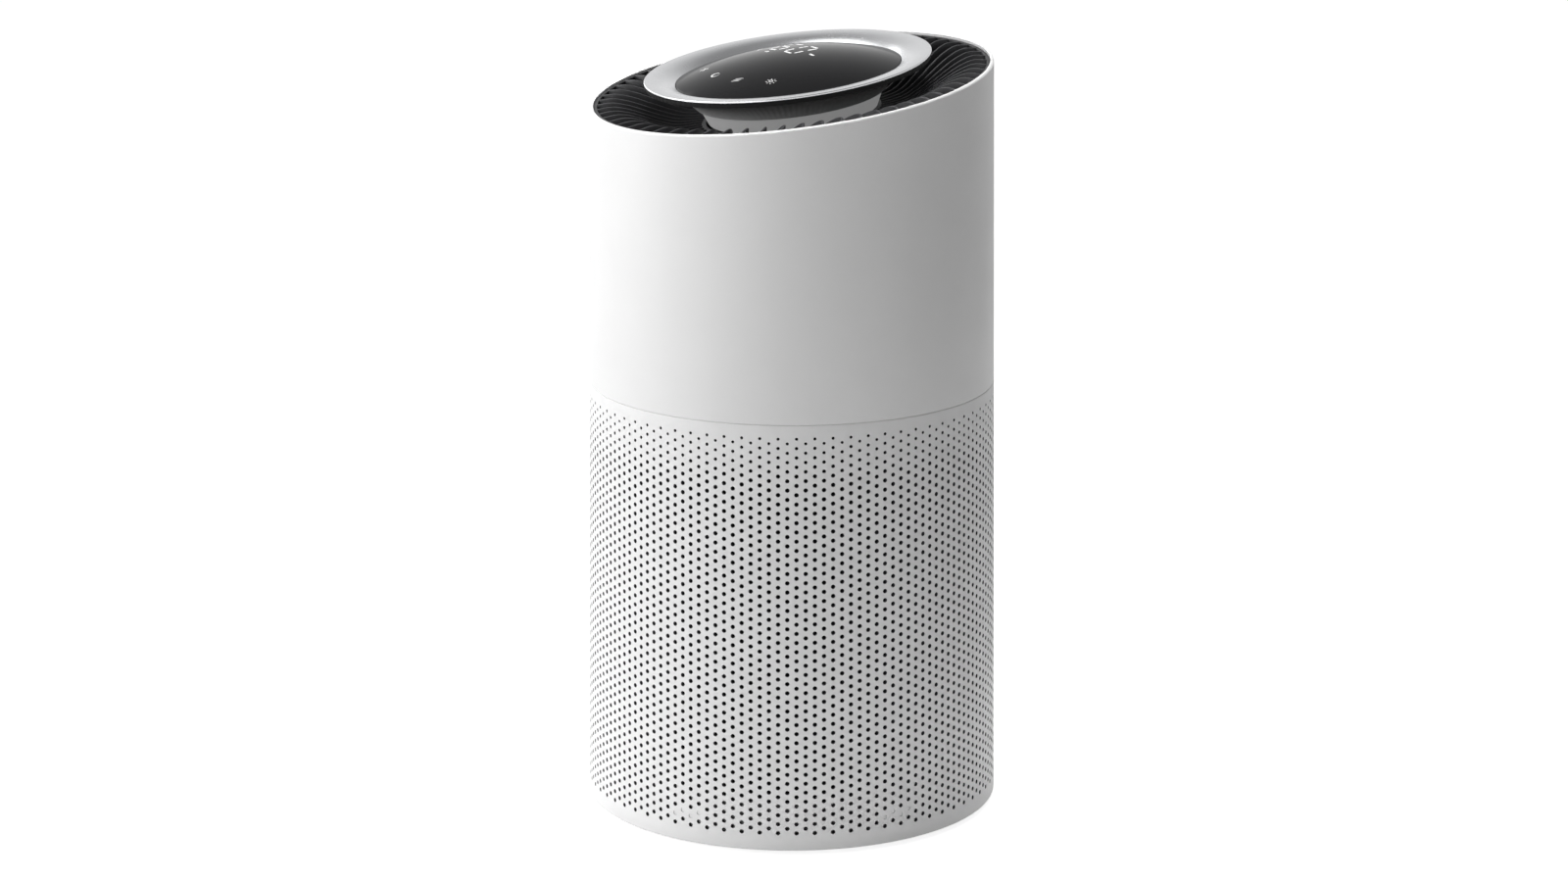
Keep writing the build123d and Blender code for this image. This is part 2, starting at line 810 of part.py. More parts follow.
def skirt_form(shrink):
    # The round body under the display ring, flared in a hollow curve.
    foot = skirt_foot_radius - shrink
    top = skirt_top_radius - shrink
    middle = ((foot + top - skirt_bow) / 2, (skirt_foot + skirt_crease + skirt_bow) / 2)
    flare = ThreePointArc((foot, skirt_foot), middle, (top, skirt_crease))
    outline = [flare, Polyline(flare @ 1, (top, skirt_top), (0, skirt_top), (0, skirt_foot), flare @ 0)]
    return revolve(Plane.XZ * make_face(outline), Axis.Z)


def hub_skirt():
    form = skirt_form(0)
    ledge = tube(cup_radius + seat_gap, skirt_top_radius, skirt_ledge - skirt_wall, skirt_ledge)
    return hub_frame * (form - skirt_form(skirt_wall) + (ledge & form))


def display_ring():
    # A band that rolls down to the dome; its lip rests on the skirt.
    inner = dome_radius + seat_gap
    crown = ring_radius - 2 * ring_round
    seat = skirt_top_radius - skirt_wall - seat_gap
    dish = ThreePointArc((crown, ring_edge), ((crown + inner) / 2, ring_edge - ring_dish * ring_roll),
                         (inner, ring_edge - ring_dish))
    lip = Polyline((inner, dome_foot), (seat, skirt_top), (ring_radius - ring_round, skirt_top),
                   (ring_radius, skirt_top + ring_round), (ring_radius, ring_edge - ring_round),
                   (ring_radius - ring_round, ring_edge), (crown, ring_edge))
    outline = [lip, dish, Line(dish @ 1, lip @ 0)]
    return hub_frame * revolve(Plane.XZ * make_face(outline), Axis.Z)


def dome_height(radius, lower=0.0):
    ball = (dome_radius ** 2 + dome_rise ** 2) / (2 * dome_rise)
    return dome_edge + dome_rise - lower - ball + (ball ** 2 - radius ** 2) ** 0.5


def display_dome():
    inner = dome_radius - dome_rim
    half = dome_radius / 2
    top = ThreePointArc((0, dome_height(0)), (half, dome_height(half)), (dome_radius, dome_edge))
    under = ThreePointArc((0, dome_height(0, dome_wall)), (inner / 2, dome_height(inner / 2, dome_wall)),
                          (inner, dome_height(inner, dome_wall)))
    outline = [top, Polyline(top @ 1, (dome_radius, dome_foot), (inner, dome_foot), under @ 1), under,
               Line(under @ 0, top @ 0)]
    return hub_frame * revolve(Plane.XZ * make_face(outline), Axis.Z)


def control_cup():
    foot = hub_floor_height()
    inner = cup_radius - cup_wall
    flange_top = skirt_ledge + cup_flange
    cup = turned((0, foot), (cup_radius, foot), (cup_radius, skirt_ledge), (cup_flange_radius, skirt_ledge),
                 (cup_flange_radius, dome_foot), (cup_flange_radius - cup_flange, dome_foot),
                 (cup_flange_radius - cup_flange, flange_top), (inner, flange_top),
                 (inner, foot + cup_wall), (0, foot + cup_wall))
    for azimuth in hub_azimuths:
        hole = Pos(hub_screw_circle, 0, 0) * disc(shell_screw_radius + hole_gap, foot, foot + cup_wall)
        cup -= turn_to(azimuth) * hole
    return hub_frame * cup


def board_top():
    return skirt_ledge + cup_flange + board_thick


def control_board():
    return hub_frame * disc(board_radius, board_top() - board_thick, board_top())


def digit_module():
    corner = ((digits_length / 2) ** 2 + (digits_width / 2) ** 2) ** 0.5
    return hub_frame * block((-digits_length / 2, digits_length / 2), (-digits_width / 2, digits_width / 2),
                             (board_top(), dome_height(corner, dome_wall) - seat_gap))


def touch_pads():
    # Sprung pads that press on the underside of the dome below its keys.
    top = dome_height(key_circle + key_radius, dome_wall) - seat_gap
    pads = []
    for i in range(key_count):
        azimuth = key_turn + (i - (key_count - 1) / 2) * key_pitch
        pads.append(hub_frame * turn_to(azimuth) * Pos(key_circle, 0, 0) * disc(key_radius, board_top(), top))
    return pads


# Electrics
def inlet_outline(gap=0.0):
    half = inlet_width / 2 + gap
    tall_half = inlet_tall / 2 + gap
    return block((-half, half), (inlet_back, seam_radius * 2),
                 (inlet_height - tall_half, inlet_height + tall_half))


def inlet_face():
    edge = outer_radius(inlet_height)
    return (edge ** 2 - (inlet_width / 2) ** 2) ** 0.5


def power_inlet():
    half = inlet_width / 2
    tall_half = inlet_tall / 2
    face = inlet_face()
    corner = inner_radius(inlet_height)
    seat = (corner ** 2 - (half + inlet_flange) ** 2) ** 0.5 - seat_gap
    body = block((-half, half), (inlet_back, face), (inlet_height - tall_half, inlet_height + tall_half))
    body += block((-half - inlet_flange, half + inlet_flange), (seat - inlet_flange_plate, seat),
                  (inlet_height - tall_half - inlet_flange, inlet_height + tall_half + inlet_flange))
    place = Pos(0, face, inlet_height) * Rot(90, 0, 0)
    socket = place * extrude(SlotOverall(socket_width, socket_tall), socket_depth)
    body -= socket
    for x in (-1, 1):
        hole = Pos(x * pin_pitch / 2, 0, inlet_height) * Rot(-90, 0, 0) * disc(pin_radius, 0, seam_radius)
        body -= hole
    return body


def inlet_pins():
    face = inlet_face()
    tip = face - socket_depth + pin_reach
    pin = Rot(-90, 0, 0) * disc(pin_radius, inlet_back - pin_tail, tip)
    return [Pos(x * pin_pitch / 2, 0, inlet_height) * pin for x in (-1, 1)]


def power_board():
    half = power_width / 2
    face = power_face + board_thick
    middle = (power_low + power_high) / 2
    board = block((-half, half), (power_face, face), (power_low, power_high))
    board += block((-half / 2 - choke_width / 2, -half / 2 + choke_width / 2), (face, face + choke_depth),
                   (middle - choke_tall / 2, middle + choke_tall / 2))
    for i in range(2):
        place = Pos(capacitor_radius * (3 * i + 1), face + capacitor_radius - seat_gap, 0)
        board += place * disc(capacitor_radius, middle - capacitor_tall / 2, middle + capacitor_tall / 2)
    for x in (-1, 1):
        for z in (power_low + post_inset, power_high - post_inset):
            hole = Pos(x * (half - post_inset), 0, z) * Rot(-90, 0, 0) * disc(
                shell_screw_radius, power_face, face)
            board -= hole
    return board


def sensor_face():
    # The sensor's front corners stop just short of the shell's inner wall.
    reach = inner_radius(sensor_low + sensor_tall) - seat_gap
    return (reach ** 2 - (sensor_width / 2) ** 2) ** 0.5


def dust_sensor():
    half = sensor_width / 2
    face = sensor_face()
    body = block((face - sensor_depth, face), (-half, half), (sensor_low, sensor_low + sensor_tall))
    window = block((face - window_depth, face), (-vent_width / 2, vent_width / 2),
                   (sensor_low + window_edge, sensor_low + sensor_tall - window_edge))
    return turn_to(sensor_azimuth) * (body - window)


# Screws
def deck_screws():
    place = Pos(screw_circle, 0, deck_low) * Rot(180, 0, 0)
    one = place * screw(shell_screw_radius, screw_length)
    return [turn_to(azimuth) * one for azimuth in shell_azimuths]


def motor_screws():
    length = floor_top - can_top + can_wall
    one = Pos(motor_hole_circle, 0, floor_top) * screw(motor_screw_radius, length, motor_head_radius)
    return [turn_to(azimuth) * one for azimuth in motor_azimuths]


def hub_screws():
    one = Pos(hub_screw_circle, 0, hub_floor_height() + cup_wall) * screw(shell_screw_radius, cup_wall)
    return [hub_frame * turn_to(azimuth) * one for azimuth in hub_azimuths]


def board_screws():
    screws = []
    face = power_face + board_thick
    for x in (-1, 1):
        for z in (power_low + post_inset, power_high - post_inset):
            place = Pos(x * (power_width / 2 - post_inset), face, z) * Rot(-90, 0, 0)
            screws.append(place * screw(shell_screw_radius, board_thick))
    return screws


pieces = {
    "upper_shell": upper_shell,
    "lower_shell": lower_shell,
    "base_ring": base_ring,
    "feet": feet,
    "base_cover": base_cover,
    "filter_cap_bottom": filter_cap_bottom,
    "filter_cap_top": filter_cap_top,
    "filter_media": filter_media,
    "filter_sleeve": filter_sleeve,
    "filter_core": filter_core,
    "filter_seal": filter_seal,
    "filter_tab": filter_tab,
    "fan_deck": fan_deck,
    "inlet_guard": inlet_guard,
    "impeller": impeller,
    "impeller_nut": impeller_nut,
    "fan_shaft": fan_shaft,
    "motor_magnet": motor_magnet,
    "bearing_lower": lambda: bearing(can_low + can_wall),
    "bearing_upper": lambda: bearing(can_top - can_wall - bearing_width),
    "motor_can": motor_can,
    "motor_lid": motor_lid,
    "motor_core": motor_core,
    "motor_coils": motor_coils,
    "motor_dampers": motor_dampers,
    "fan_diffuser": fan_diffuser,
    "air_duct": air_duct,
    "outlet_grille": outlet_grille,
    "light_ring": light_ring,
    "hub_skirt": hub_skirt,
    "display_ring": display_ring,
    "display_dome": display_dome,
    "control_cup": control_cup,
    "control_board": control_board,
    "digit_module": digit_module,
    "touch_pads": touch_pads,
    "power_inlet": power_inlet,
    "inlet_pins": inlet_pins,
    "power_board": power_board,
    "dust_sensor": dust_sensor,
    "deck_screws": deck_screws,
    "motor_screws": motor_screws,
    "hub_screws": hub_screws,
    "board_screws": board_screws,
}

os.makedirs("parts", exist_ok=True)
for name, make in pieces.items():
    shape = make()
    if isinstance(shape, list):
        shape = Compound(shape)
    shape.label = name
    export_step(shape, f"parts/{name}.step")
    print(name, "written")
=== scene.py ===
import math
import bpy
from mathutils import Matrix, Vector


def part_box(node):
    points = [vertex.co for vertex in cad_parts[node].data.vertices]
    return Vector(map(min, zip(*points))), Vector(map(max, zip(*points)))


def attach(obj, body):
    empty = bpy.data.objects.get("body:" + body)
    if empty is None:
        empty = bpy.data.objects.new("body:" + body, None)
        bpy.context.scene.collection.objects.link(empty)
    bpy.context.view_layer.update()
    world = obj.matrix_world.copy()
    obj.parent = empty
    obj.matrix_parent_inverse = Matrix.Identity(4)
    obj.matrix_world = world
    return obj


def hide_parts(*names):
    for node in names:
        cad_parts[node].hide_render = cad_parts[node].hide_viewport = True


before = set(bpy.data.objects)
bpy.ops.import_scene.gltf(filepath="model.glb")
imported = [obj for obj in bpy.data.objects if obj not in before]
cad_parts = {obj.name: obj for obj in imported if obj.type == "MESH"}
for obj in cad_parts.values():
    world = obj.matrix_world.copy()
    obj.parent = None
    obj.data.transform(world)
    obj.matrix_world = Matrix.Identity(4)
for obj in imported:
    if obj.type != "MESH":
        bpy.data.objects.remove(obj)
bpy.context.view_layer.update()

mm = 0.001
near = 0.1 * mm          # how far off a point may lie and still count as on a line

# the tower: everything in metres, front (the low side of the rim) towards -Y
upperLow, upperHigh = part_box("upper_shell")
lowerLow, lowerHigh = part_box("lower_shell")
tower = {
    "seamRadius": 125 * mm,
    "seamHeight": (upperLow.z + lowerHigh.z) / 2,
    "taper": 0.0111,                 # radius lost per metre of height
    "wall": 2.2 * mm,
    "rimHeight": 452.5 * mm,         # on the axis
    "rimTilt": math.radians(7.65),
    "rimRound": 1.5 * mm,
    "innerRound": 0.4 * mm,
    "baseRound": 1.2 * mm,
    "seamRound": 0.8 * mm,
    "sides": 288,
}
slope = math.tan(tower["rimTilt"])


def outerRadius(z):
    return tower["seamRadius"] - tower["taper"] * (z - tower["seamHeight"])


def deselectAll():
    if bpy.context.object and bpy.context.object.mode != "OBJECT":
        bpy.ops.object.mode_set(mode="OBJECT")
    bpy.ops.object.select_all(action="DESELECT")


def pickOnly(obj):
    deselectAll()
    obj.select_set(True)
    bpy.context.view_layer.objects.active = obj


def named(name):
    obj = bpy.context.object
    obj.name = name
    obj.data.name = name
    return obj


def startEditing(obj):
    pickOnly(obj)
    bpy.ops.object.mode_set(mode="EDIT")
    bpy.ops.mesh.select_all(action="SELECT")


def stopEditing():
    bpy.ops.object.mode_set(mode="OBJECT")


def onOutside(place):
    return place.xy.length > outerRadius(place.z) - near


def editWhere(obj, test):
    # opens the piece with only the vertices selected whose place passes the test
    for part in (obj.data.polygons, obj.data.edges):
        for one in part:
            one.select = False
    for vertex in obj.data.vertices:
        vertex.select = bool(test(vertex.co))
    pickOnly(obj)
    bpy.ops.object.mode_set(mode="EDIT")


def roundEdges(obj, test, width, steps):
    editWhere(obj, test)
    bpy.ops.mesh.bevel(offset=width, segments=steps, affect="EDGES")
    stopEditing()


def applyModifiers(obj):
    pickOnly(obj)
    for modifier in list(obj.modifiers):
        bpy.ops.object.modifier_apply(modifier=modifier.name)


def smooth(obj, angle=35):
    pickOnly(obj)
    bpy.ops.object.shade_smooth_by_angle(angle=math.radians(angle))


def closeSeams(obj, distance=0.02 * mm):
    # merges doubles and turns the faces outwards
    startEditing(obj)
    bpy.ops.mesh.remove_doubles(threshold=distance)
    bpy.ops.mesh.normals_make_consistent(inside=False)
    stopEditing()


def flipFaces(obj):
    startEditing(obj)
    bpy.ops.mesh.flip_normals()
    stopEditing()


def faceAwayFromAxis(obj):
    # an open sheet has no inside, so its faces are turned by hand
    away = sum((face.normal.x * face.center.x + face.normal.y * face.center.y) * face.area
               for face in obj.data.polygons)
    if away < 0:
        flipFaces(obj)


def copied(obj, matrix, name):
    twin = obj.copy()
    twin.data = obj.data.copy()
    twin.name = name
    twin.data.transform(matrix)
    bpy.context.collection.objects.link(twin)
    return twin


def joined(name, objects):
    deselectAll()
    for obj in objects:
        obj.select_set(True)
    bpy.context.view_layer.objects.active = objects[0]
    bpy.ops.object.join()
    return named(name)


def ringOf(obj, name, count, step=None):
    # copies round the tower's axis, joined; the model itself is used up
    step = step or 2 * math.pi / count
    turned = [copied(obj, Matrix.Rotation(i * step, 4, "Z"), name) for i in range(count)]
    bpy.data.objects.remove(obj)
    return joined(name, turned)


def followOutline(name, outline, sides=192):
    # a round piece: a circle is extruded, resized and lifted from point to point of its
    # outline of (radius, height), which ends where it began or on the axis
    (radius, height), *rest = outline
    pole = 0.001 * mm        # the axis is reached as near as this, and merged there
    deselectAll()
    bpy.ops.mesh.primitive_circle_add(vertices=sides, radius=radius, location=(0, 0, height))
    obj = named(name)
    bpy.ops.object.transform_apply(location=True)
    startEditing(obj)
    for nextRadius, nextHeight in rest:
        nextRadius = max(nextRadius, pole)
        share = nextRadius / radius
        bpy.ops.mesh.extrude_edges_move()
        bpy.ops.transform.resize(value=(share, share, 1), center_override=(0, 0, height))
        bpy.ops.transform.translate(value=(0, 0, nextHeight - height))
        radius, height = nextRadius, nextHeight
    stopEditing()
    closeSeams(obj)
    return obj


def wear(obj, material, slot, *nodes):
    # material, body, a record slot that is not used, and the nodes that the piece stands for
    obj.data.materials.clear()
    obj.data.materials.append(material)
    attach(obj, "tower")
    if nodes:
        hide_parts(*nodes)


def hexColour(code):
    # sRGB hex to linear
    shares = [int(code[i:i + 2], 16) / 255 for i in (1, 3, 5)]
    return [s / 12.92 if s <= 0.04045 else ((s + 0.055) / 1.055) ** 2.4 for s in shares] + [1]


def darker(code, share):
    # the same colour with this share of its light taken away
    return [value * (1 - share) for value in hexColour(code)[:3]] + [1]


def addNode(tree, kind, inputs=None, **settings):
    # inputs: a value, or (node, output) for a link
    node = tree.nodes.new("ShaderNode" + kind)
    for key, value in settings.items():
        setattr(node, key, value)
    for socket, value in (inputs or {}).items():
        if isinstance(value, tuple) and isinstance(value[0], bpy.types.Node):
            tree.links.new(value[0].outputs[value[1]], node.inputs[socket])
        else:
            node.inputs[socket].default_value = value
    return node


def startMaterial(name, **sockets):
    # sockets are named with _ for a blank
    material = bpy.data.materials.new(name)
    material.use_nodes = True
    tree = material.node_tree
    shader = tree.nodes["Principled BSDF"]
    for socket, value in sockets.items():
        shader.inputs[socket.replace("_", " ")].default_value = value
    return material, tree, shader


def feedShader(tree, shader, sources):
    # links sockets of the shader, each to (node, output)
    for socket, (node, output) in sources.items():
        tree.links.new(node.outputs[output], shader.inputs[socket])


def mouldedPlastic(name, colour, roughness, grain, depth, shade=0.04, level=0.5):
    # injection-moulded: the mould's eroded texture as a fine bump, a faint mottling of the
    # colour from the pigment, and gloss that varies a little with the melt's flow
    flowWidth, glossSpread = 35 * mm, 0.05
    material, tree, shader = startMaterial(name, Specular_IOR_Level=level)
    place = addNode(tree, "TexCoord")
    erosion = addNode(tree, "TexNoise", {"Vector": (place, "Object"), "Scale": 1 / grain,
                                         "Detail": 3.0})
    flow = addNode(tree, "TexNoise", {"Vector": (place, "Object"), "Scale": 1 / flowWidth,
                                      "Detail": 2.0})
    tint = addNode(tree, "Mix", {"Factor": (flow, "Fac"), "A": hexColour(colour),
                                 "B": darker(colour, shade)}, data_type="RGBA")
    gloss = addNode(tree, "MapRange", {"Value": (flow, "Fac"), "To Min": roughness - glossSpread,
                                       "To Max": roughness + glossSpread})
    bump = addNode(tree, "Bump", {"Height": (erosion, "Fac"), "Strength": 0.6, "Distance": depth})
    feedShader(tree, shader, {"Base Color": (tint, "Result"), "Roughness": (gloss, "Result"),
                              "Normal": (bump, "Normal")})
    return material


# spark-eroded ABS: an even satin white; real grain 0.15 mm, drawn at 0.6 mm to show at all
whiteAbs = mouldedPlastic("absSparkErodedWhite", "#E6E6E6", 0.48, 0.6 * mm, 0.02 * mm)
print("tower and helpers ready")


# Perforated lower shell. It is drawn flat, x along the wall and z up, and then wrapped
# round the tower. Long columns (A) and short ones (B) alternate, half a row apart.
perforation = {
    "firstColumn": math.radians(152.5),
    "columnAngle": math.radians(2.5),
    "rows": 44,
    "rowPitch": 5.7 * mm,
    "topMargin": 8.15 * mm,            # shell's upper edge to the first row's centres
    "hole": 2.8 * mm,
    "corners": 8,
    "smallRows": (0.68, 0.75, 0.80, 0.86, 0.95),    # the holes grow over the first rows
    "stripsInHalf": 36,
}
tileWidth = tower["seamRadius"] * perforation["columnAngle"]      # between two columns


def wrapRound(obj, azimuth):
    for vertex in obj.data.vertices:
        turn = azimuth + vertex.co.x / tower["seamRadius"]
        radius = outerRadius(vertex.co.z) - vertex.co.y
        vertex.co = (radius * math.sin(turn), -radius * math.cos(turn), vertex.co.z)


def holeTile(name):
    # an octagonal hole in its rectangle of wall, eight faces
    hole, pitch = perforation["hole"], perforation["rowPitch"]
    deselectAll()
    bpy.ops.mesh.primitive_circle_add(vertices=perforation["corners"], radius=hole / 2,
                                      rotation=(math.radians(90), 0, 0))
    tile = named(name)
    bpy.ops.object.transform_apply(rotation=True)
    startEditing(tile)
    bpy.ops.mesh.extrude_edges_move()
    bpy.ops.transform.resize(value=(tileWidth / hole, 1, pitch / hole), center_override=(0, 0, 0))
    stopEditing()
    # the four diagonal points go out to the rectangle's corners
    editWhere(tile, lambda p: abs(p.x) > tileWidth / 4 and abs(p.z) > pitch / 4)
    bpy.ops.transform.resize(value=(math.sqrt(2), 1, math.sqrt(2)), center_override=(0, 0, 0))
    stopEditing()
    return tile


def holeColumn(name, x, top, rows):
    column = holeTile(name)
    rowsDown = column.modifiers.new("rows", "ARRAY")
    rowsDown.count = rows
    rowsDown.use_relative_offset = False
    rowsDown.use_constant_offset = True
    rowsDown.constant_offset_displace = (0, 0, -perforation["rowPitch"])
    rowsDown.use_merge_vertices = True
    rowsDown.merge_threshold = 0.01 * mm
    applyModifiers(column)
    column.data.transform(Matrix.Translation((x, 0, top)))
    for row, share in enumerate(perforation["smallRows"]):
        # only the hole's own edge lies within this reach of its middle
        middle = Vector((x, 0, top - row * perforation["rowPitch"]))
        editWhere(column, lambda p: (p - middle).length < perforation["hole"] * 0.55)
        bpy.ops.transform.resize(value=(share, 1, share), center_override=middle)
        stopEditing()
    return column


def extrudeBand(strip, height, lift, left=-1.0):
    # lifts the strip's edge points that lie at this height, from this place rightwards
    editWhere(strip, lambda p: abs(p.z - height) < 0.01 * mm and p.x > left)
    bpy.ops.mesh.extrude_edges_move(TRANSFORM_OT_translate={"value": (0, 0, lift)})
    stopEditing()


def bottomRow():
    # height of the last holes of a long column
    down = perforation["topMargin"] + (perforation["rows"] - 1) * perforation["rowPitch"]
    return lowerHigh.z - down


def perforatedStrip():
    pitch = perforation["rowPitch"]
    top = lowerHigh.z - perforation["topMargin"]
    strip = joined("strip", [
        holeColumn("columnA", 0, top, perforation["rows"]),
        holeColumn("columnB", tileWidth, top - pitch / 2, perforation["rows"] - 1)])
    closeSeams(strip, 0.01 * mm)
    bottom = bottomRow()
    # plain wall above and below the holes; column B is first brought level with A
    extrudeBand(strip, top, pitch / 2, left=tileWidth * 0.45)
    extrudeBand(strip, bottom, -pitch / 2, left=tileWidth * 0.45)
    closeSeams(strip, 0.01 * mm)
    extrudeBand(strip, top + pitch / 2, lowerHigh.z - top - pitch / 2)
    extrudeBand(strip, bottom - pitch / 2, lowerLow.z - bottom + pitch / 2)
    return strip


def lowerShellHalf(name, strip, first):
    half = copied(strip, Matrix.Identity(4), name)
    wrapRound(half, first)
    half = ringOf(half, name, perforation["stripsInHalf"], step=2 * perforation["columnAngle"])
    closeSeams(half, 0.01 * mm)
    faceAwayFromAxis(half)
    wall = half.modifiers.new("wall", "SOLIDIFY")
    wall.thickness = tower["wall"]
    wall.offset = -1
    applyModifiers(half)
    # the foot is rounded, and the upper edge broken where the two shells meet
    roundEdges(half, lambda p: abs(p.z - lowerLow.z) < near and onOutside(p), tower["baseRound"], 4)
    roundEdges(half, lambda p: abs(p.z - lowerHigh.z) < near and onOutside(p), tower["seamRound"], 3)
    smooth(half, 30)
    return half


def shadeHoles(shell, material):
    # the sides of the holes are the faces that look along the wall, away from its two edges
    edge = 2 * mm
    shell.data.materials.append(material)
    for face in shell.data.polygons:
        facing = abs(face.normal.xy.dot(face.center.xy.normalized()))
        if facing < 0.5 and lowerLow.z + edge < face.center.z < lowerHigh.z - edge:
            face.material_index = 1


# the holes' sides: rougher ABS, coloured far darker than the white face as painted shade, since they
# lie in deep shade
holeSidesShadeAbs = mouldedPlastic("absHoleSidesPaintedShade", "#4C4C4E", 0.7, 0.4 * mm, 0.02 * mm, level=0.2)
flatStrip = perforatedStrip()
for halfName, halfStart in (("lowerShellBack", perforation["firstColumn"]),
                            ("lowerShellFront", perforation["firstColumn"] + math.pi)):
    half = lowerShellHalf(halfName, flatStrip, halfStart)
    wear(half, whiteAbs, "shell_white", "lower_shell")
    shadeHoles(half, holeSidesShadeAbs)
bpy.data.objects.remove(flatStrip)
print("lower shell perforated")


# The pads inside the shell that the base ring's hooks catch; each stops four holes.
catchPad = {
    "first": math.radians(31.25),
    "count": 6,
    "width": 20 * mm,
    "low": 18.7 * mm,
    "high": 24.3 * mm,
    "depth": 3.5 * mm,
    "pegTop": 0.3 * mm,        # below the shell's face
    "pegRadius": 1.38 * mm,
}


def catchPads():
    tall = catchPad["high"] - catchPad["low"]
    middle = (catchPad["high"] + catchPad["low"]) / 2
    deselectAll()
    bpy.ops.mesh.primitive_grid_add(x_subdivisions=8, y_subdivisions=2, size=1)
    pad = named("pad")
    bpy.ops.object.transform_apply()
    startEditing(pad)
    bpy.ops.mesh.extrude_region_move(TRANSFORM_OT_translate={"value": (0, 0, 1)})
    bpy.ops.mesh.select_all(action="SELECT")
    bpy.ops.transform.resize(value=(catchPad["width"], tall, catchPad["depth"]),
                             center_override=(0, 0, 0))
    stopEditing()
    # the grid lies flat: turn it upright against the wall's inner side
    pad.data.transform(Matrix.Translation((0, tower["wall"], middle))
                       @ Matrix.Rotation(math.pi / 2, 4, "X") @ Matrix.Scale(-1, 4, (0, 0, 1)))
    pieces = [pad]
    bottom = bottomRow()
    for column in range(4):
        height = bottom + perforation["rowPitch"] * (1 + (column % 2) / 2)
        deselectAll()
        bpy.ops.mesh.primitive_cylinder_add(
            vertices=8, radius=catchPad["pegRadius"], depth=tower["wall"],
            rotation=(math.radians(90), 0, 0),
            location=((column - 1.5) * tileWidth, tower["wall"] / 2 + catchPad["pegTop"], height))
        peg = named("peg")
        bpy.ops.object.transform_apply()
        pieces.append(peg)
    one = joined("catchPads", pieces)
    closeSeams(one, 0.001 * mm)
    wrapRound(one, catchPad["first"])
    pads = ringOf(one, "catchPads", catchPad["count"])
    smooth(pads)
    return pads


wear(catchPads(), whiteAbs, "shell_white", "lower_shell")
print("catch pads set")


# Upper shell: one tapered wall, cut by the slanted rim plane, open at the back for the
# mains inlet and the dust sensor's vents.
upperWall = {
    "inletWidth": 20.6 * mm,
    "inletTall": 12.6 * mm,
    "ventAzimuth": math.radians(218),
    "ventCount": 5,
    "ventPitch": 4.5 * mm,
    "ventWidth": 14 * mm,
    "ventTall": 2 * mm,
    "cutDepth": 16 * mm,             # length of the blocks that cut the openings
}


def aboveRim(place):
    return place.z - tower["rimHeight"] - slope * place.y


def boxCutter(name, size, height, azimuth):
    # a block through the wall at an azimuth
    radius = outerRadius(height)
    deselectAll()
    bpy.ops.mesh.primitive_cube_add(
        size=1, scale=(size[0], upperWall["cutDepth"], size[1]), rotation=(0, 0, azimuth),
        location=(radius * math.sin(azimuth), -radius * math.cos(azimuth), height))
    cutter = named(name)
    bpy.ops.object.transform_apply()
    # the long edges are rounded, as moulded openings are
    startEditing(cutter)
    bpy.ops.mesh.bevel(offset=min(size) * 0.2, segments=3, affect="EDGES")
    stopEditing()
    return cutter


def upperShell():
    low, high = upperLow.z, upperHigh.z + 20 * mm      # tall enough for the slanted cut
    deselectAll()
    bpy.ops.mesh.primitive_cone_add(
        vertices=tower["sides"], radius1=outerRadius(low), radius2=outerRadius(high),
        depth=high - low, end_fill_type="NOTHING", location=(0, 0, (low + high) / 2))
    shell = named("upperShell")
    bpy.ops.object.transform_apply(location=True)
    startEditing(shell)
    bpy.ops.mesh.bisect(plane_co=(0, 0, tower["rimHeight"]), plane_no=(0, -slope, 1),
                        clear_outer=True)
    stopEditing()
    closeSeams(shell)
    faceAwayFromAxis(shell)
    wall = shell.modifiers.new("wall", "SOLIDIFY")
    wall.thickness = tower["wall"]
    wall.offset = -1
    applyModifiers(shell)
    roundEdges(shell, lambda p: abs(aboveRim(p)) < near and onOutside(p), tower["rimRound"], 5)
    roundEdges(shell, lambda p: abs(aboveRim(p)) < near and p.xy.length < outerRadius(p.z) - 2 * mm,
               tower["innerRound"], 2)
    roundEdges(shell, lambda p: abs(p.z - low) < near and onOutside(p), tower["seamRound"], 3)
    inletLow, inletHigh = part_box("power_inlet")
    sensorLow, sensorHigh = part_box("dust_sensor")
    cutters = [boxCutter("inletHole", (upperWall["inletWidth"], upperWall["inletTall"]),
                         (inletLow.z + inletHigh.z) / 2, math.pi)]
    for i in range(upperWall["ventCount"]):
        step = i - (upperWall["ventCount"] - 1) / 2
        height = (sensorLow.z + sensorHigh.z) / 2 + step * upperWall["ventPitch"]
        cutters.append(boxCutter("vent", (upperWall["ventWidth"], upperWall["ventTall"]), height,
                                 upperWall["ventAzimuth"]))
    cutter = joined("openings", cutters)
    openings = shell.modifiers.new("openings", "BOOLEAN")
    openings.object = cutter
    applyModifiers(shell)
    bpy.data.objects.remove(cutter)
    smooth(shell, 30)
    return shell


wear(upperShell(), whiteAbs, "shell_white", "upper_shell")
print("upper shell cut and rounded")


